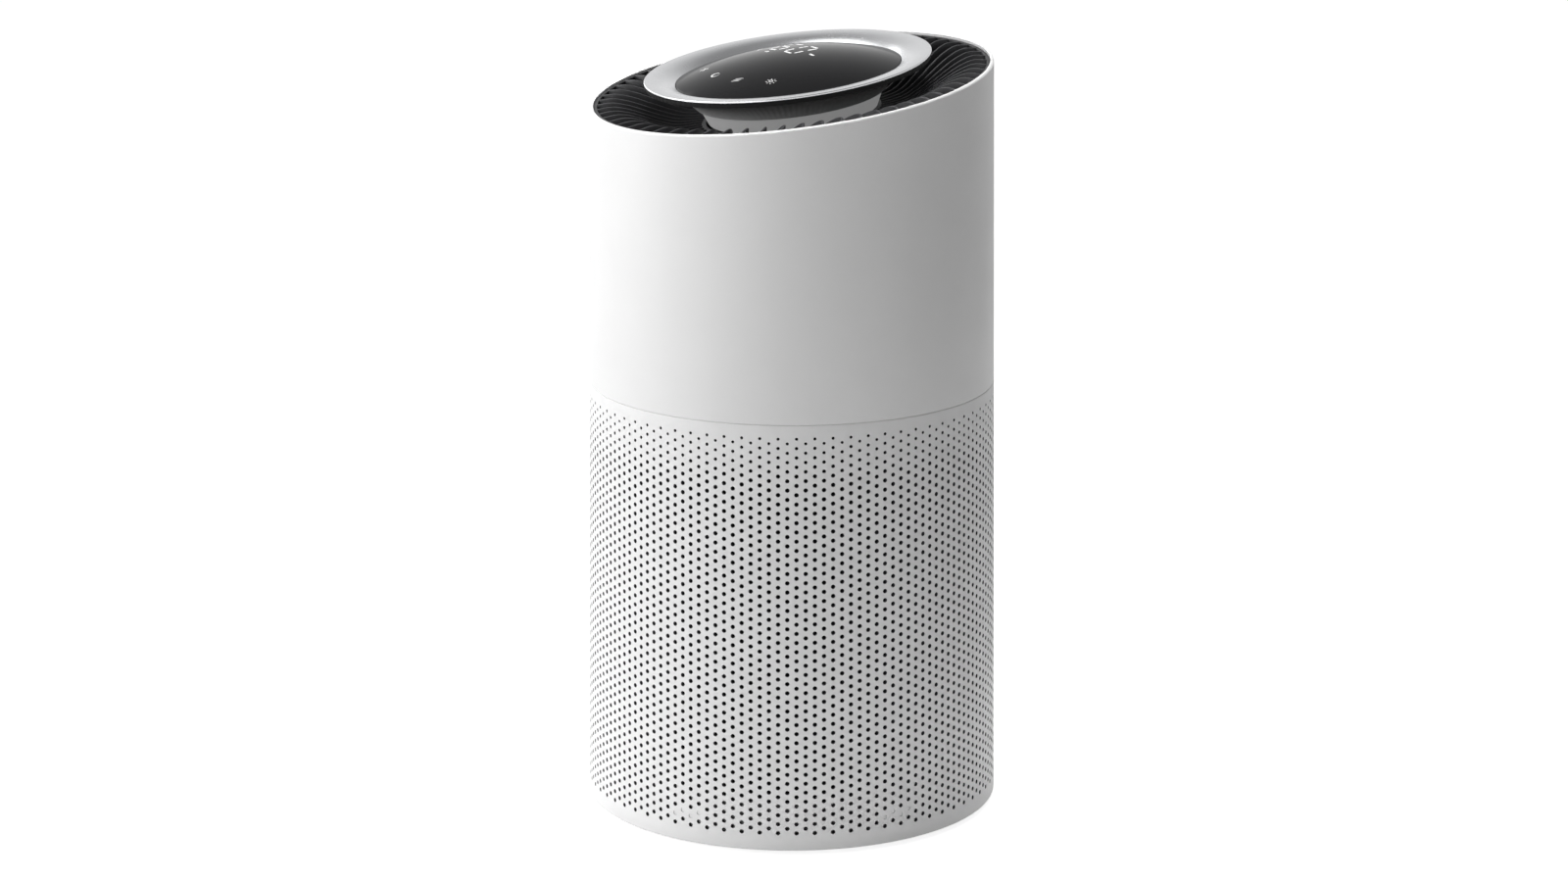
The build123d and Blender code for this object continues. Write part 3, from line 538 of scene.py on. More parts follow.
# Outlet louvre: S-shaped blades between a frame ring under the rim and the hub ring.
# A station is (share of the way inwards, swirl in degrees, drop of the top edge in mm).
louvre = {
    "blades": 62,
    "thickness": 1.6 * mm,
    "depth": 13 * mm,
    "crest": 0.55 * mm,              # rounding of the blade's edges
    "steps": 26,                     # faces along a blade
    "bite": 1 * mm,                  # how deep a blade's ends run into the rings
    "stations": ((0.00, 0.0, 0.9), (0.14, 0.9, 0.2), (0.29, -0.2, 3.1), (0.45, -2.7, 8.4),
                 (0.60, -6.4, 13.9), (0.76, -10.5, 18.2), (1.00, -16.8, 19.6)),
    "frameOuter": 120.45 * mm,
    "frameWall": 2.1 * mm,
    "frameDrop": 1.0 * mm,
    "hubOuter": 54.8 * mm,
    "hubWall": 2.8 * mm,
    "hubFoot": 33 * mm,
    "floorBore": 30 * mm,
    "floor": 2 * mm,
    "ringEdge": 0.35 * mm,           # chamfer of the two rings' upper edges
}


def slantUp(obj):
    # heights given from the rim plane are carried onto it, like a deck of cards pushed over
    obj.data.transform(Matrix(((1, 0, 0, 0), (0, 1, 0, 0), (0, slope, 1, tower["rimHeight"]),
                               (0, 0, 0, 1))))


def bladeAt(share):
    # smooth curve through the stations
    points = louvre["stations"]
    i = max(k for k in range(len(points) - 1) if share >= points[k][0])
    before, here = points[max(i - 1, 0)], points[i]
    after, beyond = points[i + 1], points[min(i + 2, len(points) - 1)]
    t = (share - here[0]) / (after[0] - here[0])
    values = []
    for k in (1, 2):
        startSlope = (after[k] - before[k]) / (after[0] - before[0]) * (after[0] - here[0])
        endSlope = (beyond[k] - here[k]) / (beyond[0] - here[0]) * (after[0] - here[0])
        values.append((2 * t ** 3 - 3 * t ** 2 + 1) * here[k] + (t ** 3 - 2 * t ** 2 + t) * startSlope
                      + (3 * t ** 2 - 2 * t ** 3) * after[k] + (t ** 3 - t ** 2) * endSlope)
    return values


def louvreBlades():
    start = louvre["frameOuter"] - louvre["frameWall"] + louvre["bite"]
    end = louvre["hubOuter"] - louvre["bite"]
    deselectAll()
    bpy.ops.mesh.primitive_grid_add(x_subdivisions=louvre["steps"], y_subdivisions=1, size=1)
    blade = named("louvreBlades")
    for vertex in blade.data.vertices:
        share = min(max(vertex.co.x + 0.5, 0), 1)
        swirl, drop = bladeAt(share)
        radius = start + (end - start) * share
        turn = math.radians(swirl)
        vertex.co = (radius * math.sin(turn), -radius * math.cos(turn),
                     -drop * mm - (0.5 - vertex.co.y) * louvre["depth"])
    wall = blade.modifiers.new("wall", "SOLIDIFY")
    wall.thickness = louvre["thickness"]
    wall.offset = 0
    crest = blade.modifiers.new("crest", "BEVEL")
    crest.width = louvre["crest"]
    crest.segments = 2
    crest.limit_method = "ANGLE"
    crest.angle_limit = math.radians(50)
    applyModifiers(blade)
    blades = ringOf(blade, "louvreBlades", louvre["blades"])
    slantUp(blades)
    smooth(blades, 40)
    return blades


def louvreRing(name, outer, wall, drop, foot, floor=False):
    inner, edge = outer - wall, louvre["ringEdge"]
    outline = [(inner, -foot), (inner, -drop - edge), (inner + edge, -drop), (outer - edge, -drop),
               (outer, -drop - edge), (outer, -foot), (inner, -foot)]
    if floor:
        bore, low = louvre["floorBore"], louvre["floor"] - foot
        outline = [(bore, -foot), (bore, low), (inner, low)] + outline[1:-1] + [(bore, -foot)]
    ring = followOutline(name, outline)
    slantUp(ring)
    smooth(ring)
    return ring


# satin black ABS: the blades catch soft light along their crests
blackAbs = mouldedPlastic("absSatinBlack", "#363638", 0.42, 0.5 * mm, 0.008 * mm, shade=0.1,
                          level=0.25)
# the same ABS on the frame under the rim, coloured darker as painted shade, and with hardly any shine
frameAbsPaintedShade = mouldedPlastic("absSatinBlackPaintedShade", "#202022", 0.42, 0.5 * mm, 0.008 * mm, level=0.25)
wear(louvreBlades(), blackAbs, "louvre_plastic", "outlet_grille")
wear(louvreRing("louvreFrame", louvre["frameOuter"], louvre["frameWall"], louvre["frameDrop"],
                louvre["depth"] + louvre["frameDrop"]), frameAbsPaintedShade, "louvre_plastic", "outlet_grille")
wear(louvreRing("louvreHub", louvre["hubOuter"], louvre["hubWall"], louvre["stations"][-1][2] * mm,
                louvre["hubFoot"], floor=True), blackAbs, "louvre_plastic", "outlet_grille")
print("louvre bladed")


# Control hub, drawn upright and then tilted with the rim. Heights are from the point of
# the axis that lies pivotDrop under the rim.
hub = {
    "sides": 288,
    "pivotDrop": 12 * mm,
    "lightTop": 56.6 * mm,
    "lightFoot": 52.0 * mm,
    "lightWall": 1.9 * mm,
    "skirtFoot": 58.4 * mm,
    "skirtFootHeight": 3.25 * mm,
    "skirtTop": 87.2 * mm,
    "skirtCrease": 18.4 * mm,          # above it the skirt stands upright
    "skirtTopHeight": 21.0 * mm,
    "skirtBow": 4.6 * mm,
    "skirtWall": 2.0 * mm,
    "ringRadius": 88.0 * mm,
    "ringEdge": 22.6 * mm,
    "ringDish": 4.6 * mm,
    "ringRoll": 2.6,                   # how late the dish begins on its way to the dome
    "ringRound": 0.6 * mm,
    "ringSteps": 20,
    "domeRadius": 69.0 * mm,
    "domeEdge": 18.2 * mm,
    "domeFoot": 15.5 * mm,
    "domeRise": 11.5 * mm,
    "domeWall": 2.5 * mm,
    "domeRound": 0.5 * mm,             # where its side turns into its top
    "domeSteps": 24,
    "gap": 0.3 * mm,
}
hubPlace = (Matrix.Translation((0, 0, tower["rimHeight"] - hub["pivotDrop"]))
            @ Matrix.Rotation(tower["rimTilt"], 4, "X"))


def arcThrough(first, middle, last, steps):
    # points of the circle through three (radius, height) points
    (ax, ay), (bx, by), (cx, cy) = first, middle, last
    double = 2 * (ax * (by - cy) + bx * (cy - ay) + cx * (ay - by))
    a2, b2, c2 = ax * ax + ay * ay, bx * bx + by * by, cx * cx + cy * cy
    x = (a2 * (by - cy) + b2 * (cy - ay) + c2 * (ay - by)) / double
    y = (a2 * (cx - bx) + b2 * (ax - cx) + c2 * (bx - ax)) / double
    start, end = math.atan2(ay - y, ax - x), math.atan2(cy - y, cx - x)
    size = math.hypot(ax - x, ay - y)
    turns = [start + (end - start) * i / steps for i in range(steps + 1)]
    return [(x + size * math.cos(turn), y + size * math.sin(turn)) for turn in turns]


def skirtFlare(shrink):
    foot, top = hub["skirtFoot"] - shrink, hub["skirtTop"] - shrink
    middle = ((foot + top - hub["skirtBow"]) / 2,
              (hub["skirtFootHeight"] + hub["skirtCrease"] + hub["skirtBow"]) / 2)
    flare = arcThrough((foot, hub["skirtFootHeight"]), middle, (top, hub["skirtCrease"]), 12)
    return flare + [(top, hub["skirtTopHeight"])]


def domeHeight(radius, lower=0.0):
    ball = (hub["domeRadius"] ** 2 + hub["domeRise"] ** 2) / (2 * hub["domeRise"])
    return hub["domeEdge"] + hub["domeRise"] - lower - ball + math.sqrt(ball ** 2 - radius ** 2)


def tilted(obj, angle=35):
    obj.data.transform(hubPlace)
    smooth(obj, angle)
    return obj


def hubSkirt():
    outside, inside = skirtFlare(0), skirtFlare(hub["skirtWall"])
    return tilted(followOutline("hubSkirt", outside + inside[::-1] + outside[:1], hub["sides"]))


def lightRing():
    # it stands on the louvre's hub ring, which lies this deep under the rim
    deep = louvre["stations"][-1][2] * mm
    foot = (hub["pivotDrop"] - deep) * math.cos(tower["rimTilt"]) + hub["gap"]
    top, wall = hub["skirtFootHeight"], hub["lightWall"]
    return tilted(followOutline("lightRing", [
        (hub["lightFoot"], foot), (hub["lightTop"], top), (hub["lightTop"] - wall, top),
        (hub["lightFoot"] - wall, foot), (hub["lightFoot"], foot)], hub["sides"]))


def displayRing():
    # a band that rolls down to the dome, with a rounded lip outside
    inner, outer = hub["domeRadius"] + hub["gap"], hub["ringRadius"]
    top, low, lip = hub["ringEdge"], hub["skirtTopHeight"], hub["ringRound"]
    crown, seat = outer - 2 * lip, hub["skirtTop"] - hub["skirtWall"] - hub["gap"]
    outline = [(inner, hub["domeFoot"])]
    for i in range(hub["ringSteps"] + 1):
        share = (i / hub["ringSteps"]) ** 1.4       # the steps lie closer where the bend is tighter
        outline.append((inner + (crown - inner) * share,
                        top - hub["ringDish"] * (1 - share) ** hub["ringRoll"]))
    # the lip's two quarter rounds, from its crown down to its under side
    for centre, first in ((top - lip, 90), (low + lip, 0)):
        for i in range(5):
            turn = math.radians(first - 22.5 * i)
            outline.append((outer - lip + lip * math.cos(turn), centre + lip * math.sin(turn)))
    outline += [(seat, low), (inner, hub["domeFoot"])]
    return tilted(followOutline("displayRing", outline, hub["sides"]), 50)


def displayDome():
    # up its side, over the rounded edge, across the top to the axis and back under it
    rim, edge, wall = hub["domeRadius"], hub["domeRound"], hub["domeWall"]
    inner, steps = rim - 2 * wall, hub["domeSteps"]
    radii = [rim * math.cos(math.radians(90 * (1 - i / steps))) for i in range(steps + 1)]
    outline = [(inner, domeHeight(inner, wall)), (inner, hub["domeFoot"]), (rim, hub["domeFoot"]),
               (rim, hub["domeEdge"] - edge),
               (rim - edge * 0.3, hub["domeEdge"] - edge * 0.3 + 0.1 * mm),      # on the round
               (rim - edge, domeHeight(rim - edge))]
    outline += [(radius, domeHeight(radius)) for radius in reversed(radii) if radius < rim - edge]
    outline += [(radius, domeHeight(radius, wall)) for radius in radii if radius < inner]
    return tilted(followOutline("displayDome", outline + outline[:1], hub["sides"]), 40)


def polishedPlastic(name, colour, roughness, ior, level=0.5):
    # polished mould: a clear gloss with a hint of flow in the reflection and faint smears
    material, tree, shader = startMaterial(name, Base_Color=hexColour(colour), IOR=ior,
                                           Specular_IOR_Level=level)
    place = addNode(tree, "TexCoord")
    flow = addNode(tree, "TexNoise", {"Vector": (place, "Object"), "Scale": 1 / (40 * mm),
                                      "Detail": 1.0})
    smear = addNode(tree, "TexNoise", {"Vector": (place, "Object"), "Scale": 1 / (9 * mm),
                                       "Detail": 4.0})
    gloss = addNode(tree, "MapRange", {"Value": (smear, "Fac"), "From Min": 0.35, "From Max": 0.75,
                                       "To Min": roughness, "To Max": roughness + 0.05})
    bump = addNode(tree, "Bump", {"Height": (flow, "Fac"), "Strength": 0.25, "Distance": 0.2 * mm})
    feedShader(tree, shader, {"Roughness": (gloss, "Result"), "Normal": (bump, "Normal")})
    return material


def streakedPlastic(name, upper, lower, roughness, streaks):
    # the mould was polished up and down the flare, which leaves faint streaks round it; the black is
    # coloured paler towards the foot, painted light from the light ring under it
    material, tree, shader = startMaterial(name, Roughness=roughness, Specular_IOR_Level=0.2)
    place = addNode(tree, "TexCoord")
    upright = addNode(tree, "Mapping", {
        "Vector": (place, "Object"), "Location": (0, 0, hub["pivotDrop"] - tower["rimHeight"])})
    untilted = addNode(tree, "Mapping", {"Vector": (upright, "Vector"),
                                         "Rotation": (-tower["rimTilt"], 0, 0)})
    turn = addNode(tree, "TexGradient", {"Vector": (untilted, "Vector")}, gradient_type="RADIAL")
    swing = addNode(tree, "Math", {0: (turn, "Fac"), 1: 2 * math.pi * streaks}, operation="MULTIPLY")
    streak = addNode(tree, "Math", {0: (swing, "Value")}, operation="SINE")
    height = addNode(tree, "SeparateXYZ", {"Vector": (untilted, "Vector")})
    paintedLightRise = addNode(tree, "MapRange", {"Value": (height, "Z"), "From Min": hub["skirtFootHeight"],
                                       "From Max": hub["skirtCrease"]})
    tint = addNode(tree, "Mix", {"Factor": (paintedLightRise, "Result"), "A": hexColour(lower),
                                 "B": hexColour(upper)}, data_type="RGBA")
    bump = addNode(tree, "Bump", {"Height": (streak, "Value"), "Strength": 0.6,
                                  "Distance": 0.08 * mm})
    feedShader(tree, shader, {"Base Color": (tint, "Result"), "Normal": (bump, "Normal")})
    return material


def spunMetal(name, colour, roughness, pitch):
    # turned on a lathe: rings round the hub's axis, drawn at 0.5 mm where real ones are 0.05 mm,
    # which draw the highlight out round the ring
    material, tree, shader = startMaterial(name, Base_Color=hexColour(colour), Metallic=1.0)
    place = addNode(tree, "TexCoord")
    upright = addNode(tree, "Mapping", {"Vector": (place, "Object"),
                                        "Rotation": (-tower["rimTilt"], 0, 0)})
    rings = addNode(tree, "TexWave", {"Vector": (upright, "Vector"), "Scale": math.pi / (10 * pitch),
                                      "Distortion": 0.6, "Detail": 1.0},
                    wave_type="RINGS", rings_direction="Z")
    haze = addNode(tree, "TexNoise", {"Vector": (place, "Object"), "Scale": 1 / (6 * mm),
                                      "Detail": 3.0})
    gloss = addNode(tree, "MapRange", {"Value": (haze, "Fac"), "To Min": roughness - 0.04,
                                       "To Max": roughness + 0.04})
    bump = addNode(tree, "Bump", {"Height": (rings, "Fac"), "Strength": 0.25, "Distance": 0.004 * mm})
    feedShader(tree, shader, {"Roughness": (gloss, "Result"), "Normal": (bump, "Normal")})
    return material


def frostedAcrylic(name, colour, glow):
    # frosted light guide: milky, with an even faint light of its own
    material, tree, shader = startMaterial(
        name, Base_Color=hexColour(colour), Roughness=0.6, IOR=1.49,
        Emission_Color=hexColour("#FFFFFF"), Emission_Strength=glow)
    place = addNode(tree, "TexCoord")
    frost = addNode(tree, "TexNoise", {"Vector": (place, "Object"), "Scale": 1 / (0.5 * mm),
                                       "Detail": 2.0})
    bump = addNode(tree, "Bump", {"Height": (frost, "Fac"), "Strength": 0.3, "Distance": 0.01 * mm})
    feedShader(tree, shader, {"Normal": (bump, "Normal")})
    return material


smokedAcrylic = polishedPlastic("acrylicPolishedSmoked", "#1B1B1C", 0.1, 1.49, level=0.05)
# 120 streaks stand 3 mm apart at the foot and 4.6 mm at the top
# black above, near white at the foot: painted light from the light ring below the skirt
streakedBlackPaintedLight = streakedPlastic("absStreakPolishedBlackPaintedLight", "#080808", "#F0F0F0", 0.45, 120)
satinAluminium = spunMetal("aluminiumSpunAnodised", "#DADBDD", 0.26, 0.5 * mm)
milkyGuide = frostedAcrylic("acrylicFrosted", "#B4B4B4", 0.17)
wear(hubSkirt(), streakedBlackPaintedLight, "louvre_plastic", "hub_skirt")
wear(lightRing(), milkyGuide, "light_guide", "light_ring")
wear(displayRing(), satinAluminium, "ring_metal", "display_ring")
wear(displayDome(), smokedAcrylic, "dome_gloss", "display_dome")
print("hub turned")


# Lit signs in the dome: a number of two digits and four plain pictograms on an arc.
signs = {
    "thick": 0.12 * mm,
    "digits": (6, 0),
    "digitSize": (11 * mm, 18.5 * mm),
    "digitLeft": -25 * mm,
    "digitLow": 1.6 * mm,
    "digitPitch": 19 * mm,
    "stroke": 1.5 * mm,
    "keyCircles": (51.4 * mm, 46.5 * mm, 46.2 * mm, 48.3 * mm),
    "keyPitch": math.radians(29),
    "keyTurn": math.radians(6),        # from the front to the middle of the keys
    "keySize": 2.8 * mm,
    "keyStroke": 0.5 * mm,
    "crescent": (0.7 * mm, 0.45 * mm),  # width, and how far its hole is shifted
    "unitMarks": ((16, 9, 5.5, 0), (-17, -4, 3.5, 0.5), (-32, -1, 4, 1.5)),
}


def flatBar(length, width, place, turn):
    # a flat bar with pointed ends
    deselectAll()
    bpy.ops.mesh.primitive_circle_add(vertices=6, radius=0.5, fill_type="NGON")
    bar = named("bar")
    reach, half = length / 2, width / 2
    corners = ((half - reach, half), (reach - half, half), (reach, 0),
               (reach - half, -half), (half - reach, -half), (-reach, 0))
    for vertex, (x, y) in zip(bar.data.vertices, corners):
        vertex.co = (x, y, 0)
    bar.data.transform(Matrix.Translation((place[0], place[1], 0)) @ Matrix.Rotation(turn, 4, "Z"))
    return bar


def flatRing(radius, width, shift=0.0):
    # an open ring; a shifted hole makes it a crescent
    deselectAll()
    bpy.ops.mesh.primitive_circle_add(vertices=28, radius=radius)
    ring = named("ring")
    startEditing(ring)
    bpy.ops.mesh.extrude_edges_move()
    share = (radius - width) / radius
    bpy.ops.transform.resize(value=(share, share, 1), center_override=(0, 0, 0))
    bpy.ops.transform.translate(value=(shift, shift, 0))
    stopEditing()
    return ring


def digit(value, left, low):
    wide, tall = signs["digitSize"]
    stroke = signs["stroke"]
    x, y = left + wide / 2, low + tall / 2
    # each stroke: its middle, and 1 where it stands upright
    segments = {"a": ((x, low + tall), 0), "d": ((x, low), 0), "g": ((x, y), 0),
                "b": ((left + wide, y + tall / 4), 1), "c": ((left + wide, y - tall / 4), 1),
                "e": ((left, y - tall / 4), 1), "f": ((left, y + tall / 4), 1)}
    lit = {6: "acdefg", 0: "abcdef"}[value]
    bars = []
    for place, upright in (segments[name] for name in lit):
        length = (tall / 2 if upright else wide) - stroke * 1.8
        bars.append(flatBar(length, stroke, place, upright * math.pi / 2))
    return bars


def sparkSign(size):
    # three strokes crossing in the middle
    return [flatBar(size * 2.4, signs["keyStroke"], (0, 0), math.radians(60 * i)) for i in range(3)]


def nightSign(size):
    width, shift = signs["crescent"]
    return [flatRing(size, width, shift=shift)]


def airSign(size):
    # three strokes of moving air
    return [flatBar(size * 1.9, signs["keyStroke"], (size * 0.15 * i, size * 0.6 * i), 0.3)
            for i in (-1, 0, 1)]


def lightSign(size):
    rays = [flatBar(size * 0.45, signs["keyStroke"], (size * math.cos(a), size * math.sin(a)), a)
            for a in (math.radians(45 * k) for k in range(8))]
    return [flatRing(size * 0.5, signs["keyStroke"])] + rays


def onDome(obj):
    # lays the flat signs on the dome, thickens them and tilts them with the hub
    startEditing(obj)
    bpy.ops.mesh.normals_make_consistent(inside=False)
    stopEditing()
    if obj.data.polygons[0].normal.z < 0:
        flipFaces(obj)
    for vertex in obj.data.vertices:
        vertex.co.z = domeHeight(vertex.co.xy.length) + signs["thick"]
    wall = obj.modifiers.new("wall", "SOLIDIFY")
    wall.thickness = signs["thick"] * 2
    wall.offset = -1
    applyModifiers(obj)
    return tilted(obj)


def litWindow(name, colour, strength):
    # clear windows in the dome's paint, lit from behind: bright with a soft, uneven glow
    material, tree, shader = startMaterial(name, Base_Color=hexColour(colour), Roughness=0.4,
                                           IOR=1.49, Emission_Strength=strength)
    place = addNode(tree, "TexCoord")
    uneven = addNode(tree, "TexNoise", {"Vector": (place, "Object"), "Scale": 1 / (8 * mm),
                                        "Detail": 1.0})
    glow = addNode(tree, "Mix", {"Factor": (uneven, "Fac"), "A": hexColour("#FFFFFF"),
                                 "B": hexColour("#C8C8C8")}, data_type="RGBA")
    feedShader(tree, shader, {"Emission Color": (glow, "Result")})
    return material


def keySigns():
    pieces = []
    for i, sign in enumerate((sparkSign, nightSign, airSign, lightSign)):
        azimuth = signs["keyTurn"] + (i - 1.5) * signs["keyPitch"]
        place = (Matrix.Rotation(azimuth, 4, "Z")
                 @ Matrix.Translation((0, -signs["keyCircles"][i], 0)))
        for piece in sign(signs["keySize"]):
            piece.data.transform(place)
            pieces.append(piece)
    return onDome(joined("keySigns", pieces))


def numberSign():
    bars = []
    for i, value in enumerate(signs["digits"]):
        bars += digit(value, signs["digitLeft"] + i * signs["digitPitch"], signs["digitLow"])
    # small marks of the unit beside the number: x, y and length in mm, and turn
    for x, y, length, turn in signs["unitMarks"]:
        bars.append(flatBar(length * mm, signs["stroke"], (x * mm, y * mm), turn))
    return onDome(joined("numberSign", bars))


numberWhite = litWindow("acrylicWindowLit", "#BDBDBD", 0.5)
keyWhite = litWindow("acrylicWindowDim", "#A8A8A8", 0.32)
wear(keySigns(), keyWhite, "light_guide")
wear(numberSign(), numberWhite, "light_guide")
print("signs lit")


# The other pieces keep their CAD form and get their real finish.
def wovenNet(name, colour, thread, dark="#000000"):
    # threads in rings and along the height, dark between them
    material, tree, shader = startMaterial(name, Roughness=0.8)
    place = addNode(tree, "TexCoord")
    scale = math.pi / (10 * thread)
    rings = addNode(tree, "TexWave", {"Vector": (place, "Object"), "Scale": scale},
                    wave_type="BANDS", bands_direction="Z")
    uprights = addNode(tree, "TexWave", {"Vector": (place, "Object"), "Scale": scale},
                       wave_type="BANDS", bands_direction="DIAGONAL")
    both = addNode(tree, "Math", {0: (rings, "Fac"), 1: (uprights, "Fac")}, operation="MAXIMUM")
    tint = addNode(tree, "Mix", {"Factor": (both, "Value"), "A": hexColour(dark),
                                 "B": hexColour(colour)}, data_type="RGBA")
    bump = addNode(tree, "Bump", {"Height": (both, "Value"), "Strength": 0.5, "Distance": thread / 3})
    feedShader(tree, shader, {"Base Color": (tint, "Result"), "Normal": (bump, "Normal")})
    return material


def fibrous(name, colour, fibre, sheen=0.2):
    # paper, fleece and foam: matte, with fibres or cells in relief
    material, tree, shader = startMaterial(name, Roughness=0.92, Sheen_Weight=sheen)
    place = addNode(tree, "TexCoord")
    fibres = addNode(tree, "TexNoise", {"Vector": (place, "Object"), "Scale": 1 / fibre,
                                        "Detail": 5.0, "Distortion": 1.0})
    tint = addNode(tree, "Mix", {"Factor": (fibres, "Fac"), "A": hexColour(colour),
                                 "B": darker(colour, 0.2)}, data_type="RGBA")
    bump = addNode(tree, "Bump", {"Height": (fibres, "Fac"), "Strength": 0.6, "Distance": fibre / 4})
    feedShader(tree, shader, {"Base Color": (tint, "Result"), "Normal": (bump, "Normal")})
    return material


def workedMetal(name, colour, roughness, grain):
    # rolled, ground or plated metal: its crystals show in the tint and the gloss
    material, tree, shader = startMaterial(name, Metallic=1.0)
    place = addNode(tree, "TexCoord")
    crystals = addNode(tree, "TexVoronoi", {"Vector": (place, "Object"), "Scale": 1 / grain})
    tint = addNode(tree, "Mix", {"Factor": (crystals, "Distance"), "A": hexColour(colour),
                                 "B": darker(colour, 0.15)}, data_type="RGBA")
    gloss = addNode(tree, "MapRange", {"Value": (crystals, "Distance"), "To Min": roughness - 0.06,
                                       "To Max": roughness + 0.08})
    feedShader(tree, shader, {"Base Color": (tint, "Result"), "Roughness": (gloss, "Result")})
    return material


def woundCopper(name, colour, wire):
    # enamelled wire laid turn by turn
    material, tree, shader = startMaterial(name, Base_Color=hexColour(colour), Metallic=0.85,
                                           Roughness=0.3, Coat_Weight=0.6)
    place = addNode(tree, "TexCoord")
    turns = addNode(tree, "TexWave", {"Vector": (place, "Object"), "Scale": math.pi / (10 * wire)},
                    wave_type="BANDS", bands_direction="Z")
    bump = addNode(tree, "Bump", {"Height": (turns, "Fac"), "Strength": 0.8, "Distance": wire / 3})
    feedShader(tree, shader, {"Normal": (bump, "Normal")})
    return material


def solderMasked(name, colour):
    # circuit board: lacquer over copper tracks that show as lighter lines
    material, tree, shader = startMaterial(name, Roughness=0.3, Coat_Weight=0.4)
    place = addNode(tree, "TexCoord")
    tracks = addNode(tree, "TexBrick", {
        "Vector": (place, "Object"), "Scale": 1 / (6 * mm), "Mortar Size": 0.04,
        "Color1": hexColour(colour), "Color2": hexColour(colour), "Mortar": hexColour("#3C8A5A")})
    feedShader(tree, shader, {"Base Color": (tracks, "Color")})
    return material


finishes = {
    whiteAbs: ("base_ring", "base_cover", "filter_cap_bottom", "filter_cap_top"),
    # etched ABS on the inside: dull and even
    mouldedPlastic("absEtchedGrey", "#B9B9BA", 0.5, 0.6 * mm, 0.02 * mm): ("fan_deck", "inlet_guard"),
    mouldedPlastic("absEtchedBlack", "#161617", 0.5, 0.6 * mm, 0.02 * mm, shade=0.1): (
        "air_duct", "fan_diffuser", "control_cup"),
    # glass fibres come up in the nylon: a dry, mottled near black
    mouldedPlastic("nylonGlassFilled", "#2B2B2D", 0.55, 0.4 * mm, 0.03 * mm, shade=0.15): (
        "impeller",),
    # rubber: flat black with hardly a highlight
    mouldedPlastic("rubberMoulded", "#222222", 0.7, 0.5 * mm, 0.02 * mm, shade=0.1): (
        "feet", "motor_dampers"),
    # small polyamide housings: a tight satin black
    mouldedPlastic("polyamideBlack", "#141414", 0.4, 0.4 * mm, 0.015 * mm): (
        "power_inlet", "digit_module", "dust_sensor"),
    # net and ribbon: raised threads with shade between them
    wovenNet("nylonNetWoven", "#161717", 1.2 * mm): ("filter_sleeve",),
    wovenNet("ribbonWoven", "#4673B0", 0.8 * mm, dark="#2F5488"): ("filter_tab",),
    # glass paper is chalky white; fleece and foam are blacks that swallow the light
    fibrous("glassPaperPleated", "#F0F0EA", 0.5 * mm): ("filter_media",),
    fibrous("carbonFleece", "#1E1E1E", 0.8 * mm): ("filter_core",),
    fibrous("foamClosedCell", "#2E2E2E", 1.0 * mm, sheen=0.0): ("filter_seal", "touch_pads"),
    # zinc is bright and flaky, ground steel nearly a mirror, galvanised sheet has wide pale
    # crystals, laminations and ferrite are dull, and nickelled brass is bright and warm
    workedMetal("steelZincPlated", "#B9BBBD", 0.3, 1.5 * mm): (
        "impeller_nut", "deck_screws", "motor_screws", "hub_screws", "board_screws"),
    workedMetal("steelGround", "#C2C4C6", 0.2, 0.4 * mm): (
        "fan_shaft", "bearing_lower", "bearing_upper"),
    workedMetal("steelGalvanised", "#A9ACAE", 0.42, 6 * mm): ("motor_can", "motor_lid"),
    workedMetal("steelLaminated", "#6A6B6D", 0.5, 0.5 * mm): ("motor_core",),
    workedMetal("ferriteSintered", "#3A3A3C", 0.6, 0.8 * mm): ("motor_magnet",),
    workedMetal("brassNickelPlated", "#CFC8B4", 0.22, 1.0 * mm): ("inlet_pins",),
    # glossy red-brown turns, and a deep green board with paler tracks
    woundCopper("copperEnamelled", "#B4622E", 0.5 * mm): ("motor_coils",),
    solderMasked("boardLacquered", "#175C38"): ("control_board", "power_board"),
}
for finish, nodes in finishes.items():
    for node in nodes:
        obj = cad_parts[node]
        for slot in obj.material_slots:
            slot.material = finish
print("finishes given to", sum(len(nodes) for nodes in finishes.values()), "CAD nodes")


# Studio: white floor and backdrop, a large soft light on the left and a weaker one between
# it and the camera, two reflector cards behind on the left that draw the highlights of ring
# and dome, and a small narrow light right over the rim.
studio = {
    "cameraAzimuth": math.radians(61.2),
    "cameraDistance": 2.5628,
    "cameraHeight": 0.8801,
    "cameraPitch": math.radians(14.32),
    "lens": 97.754,
    "shift": (-0.0049, 0.0006),
    "floorSize": 12,
    "floorDrop": 0.2 * mm,
    "floorWhite": 0.8,               # light of its own that the floor shows the camera
    "ambient": 0.255,
    "fall": ((0.16, 1.0), (0.46, 0.72), (0.78, 0.3)),    # height on the world's ball, and its grey
    "aimHeight": 0.25,
}
# each light: azimuth and elevation in degrees, distance, width and height, watts
lights = {
    "keySoftBox": (-30, 22, 2.2, (1.5, 1.8), 32),
    "fillSoftBox": (20, 22, 2.2, (1.5, 1.8), 13),
    "backCard": (274, 17, 2.4, (0.9, 1.3), 7),
    "highCard": (302, 55, 2.2, (0.9, 1.3), 12),
    "rimSoftBox": (241, 86, 2.2, (0.5, 0.5), 1.5),
}
rimSpread = math.radians(30)


def softBox(name, azimuth, elevation, distance, size, power):
    turn, rise = math.radians(azimuth), math.radians(elevation)
    middle = Vector((0, 0, studio["aimHeight"]))
    away = Vector((math.sin(turn) * math.cos(rise), -math.cos(turn) * math.cos(rise), math.sin(rise)))
    bpy.ops.object.light_add(type="AREA", location=middle + away * distance)
    light = bpy.context.object
    light.name = name
    light.data.shape = "RECTANGLE"
    light.data.size, light.data.size_y = size
    light.data.energy = power
    light.rotation_euler = (middle - light.location).to_track_quat("-Z", "Y").to_euler()
    return light


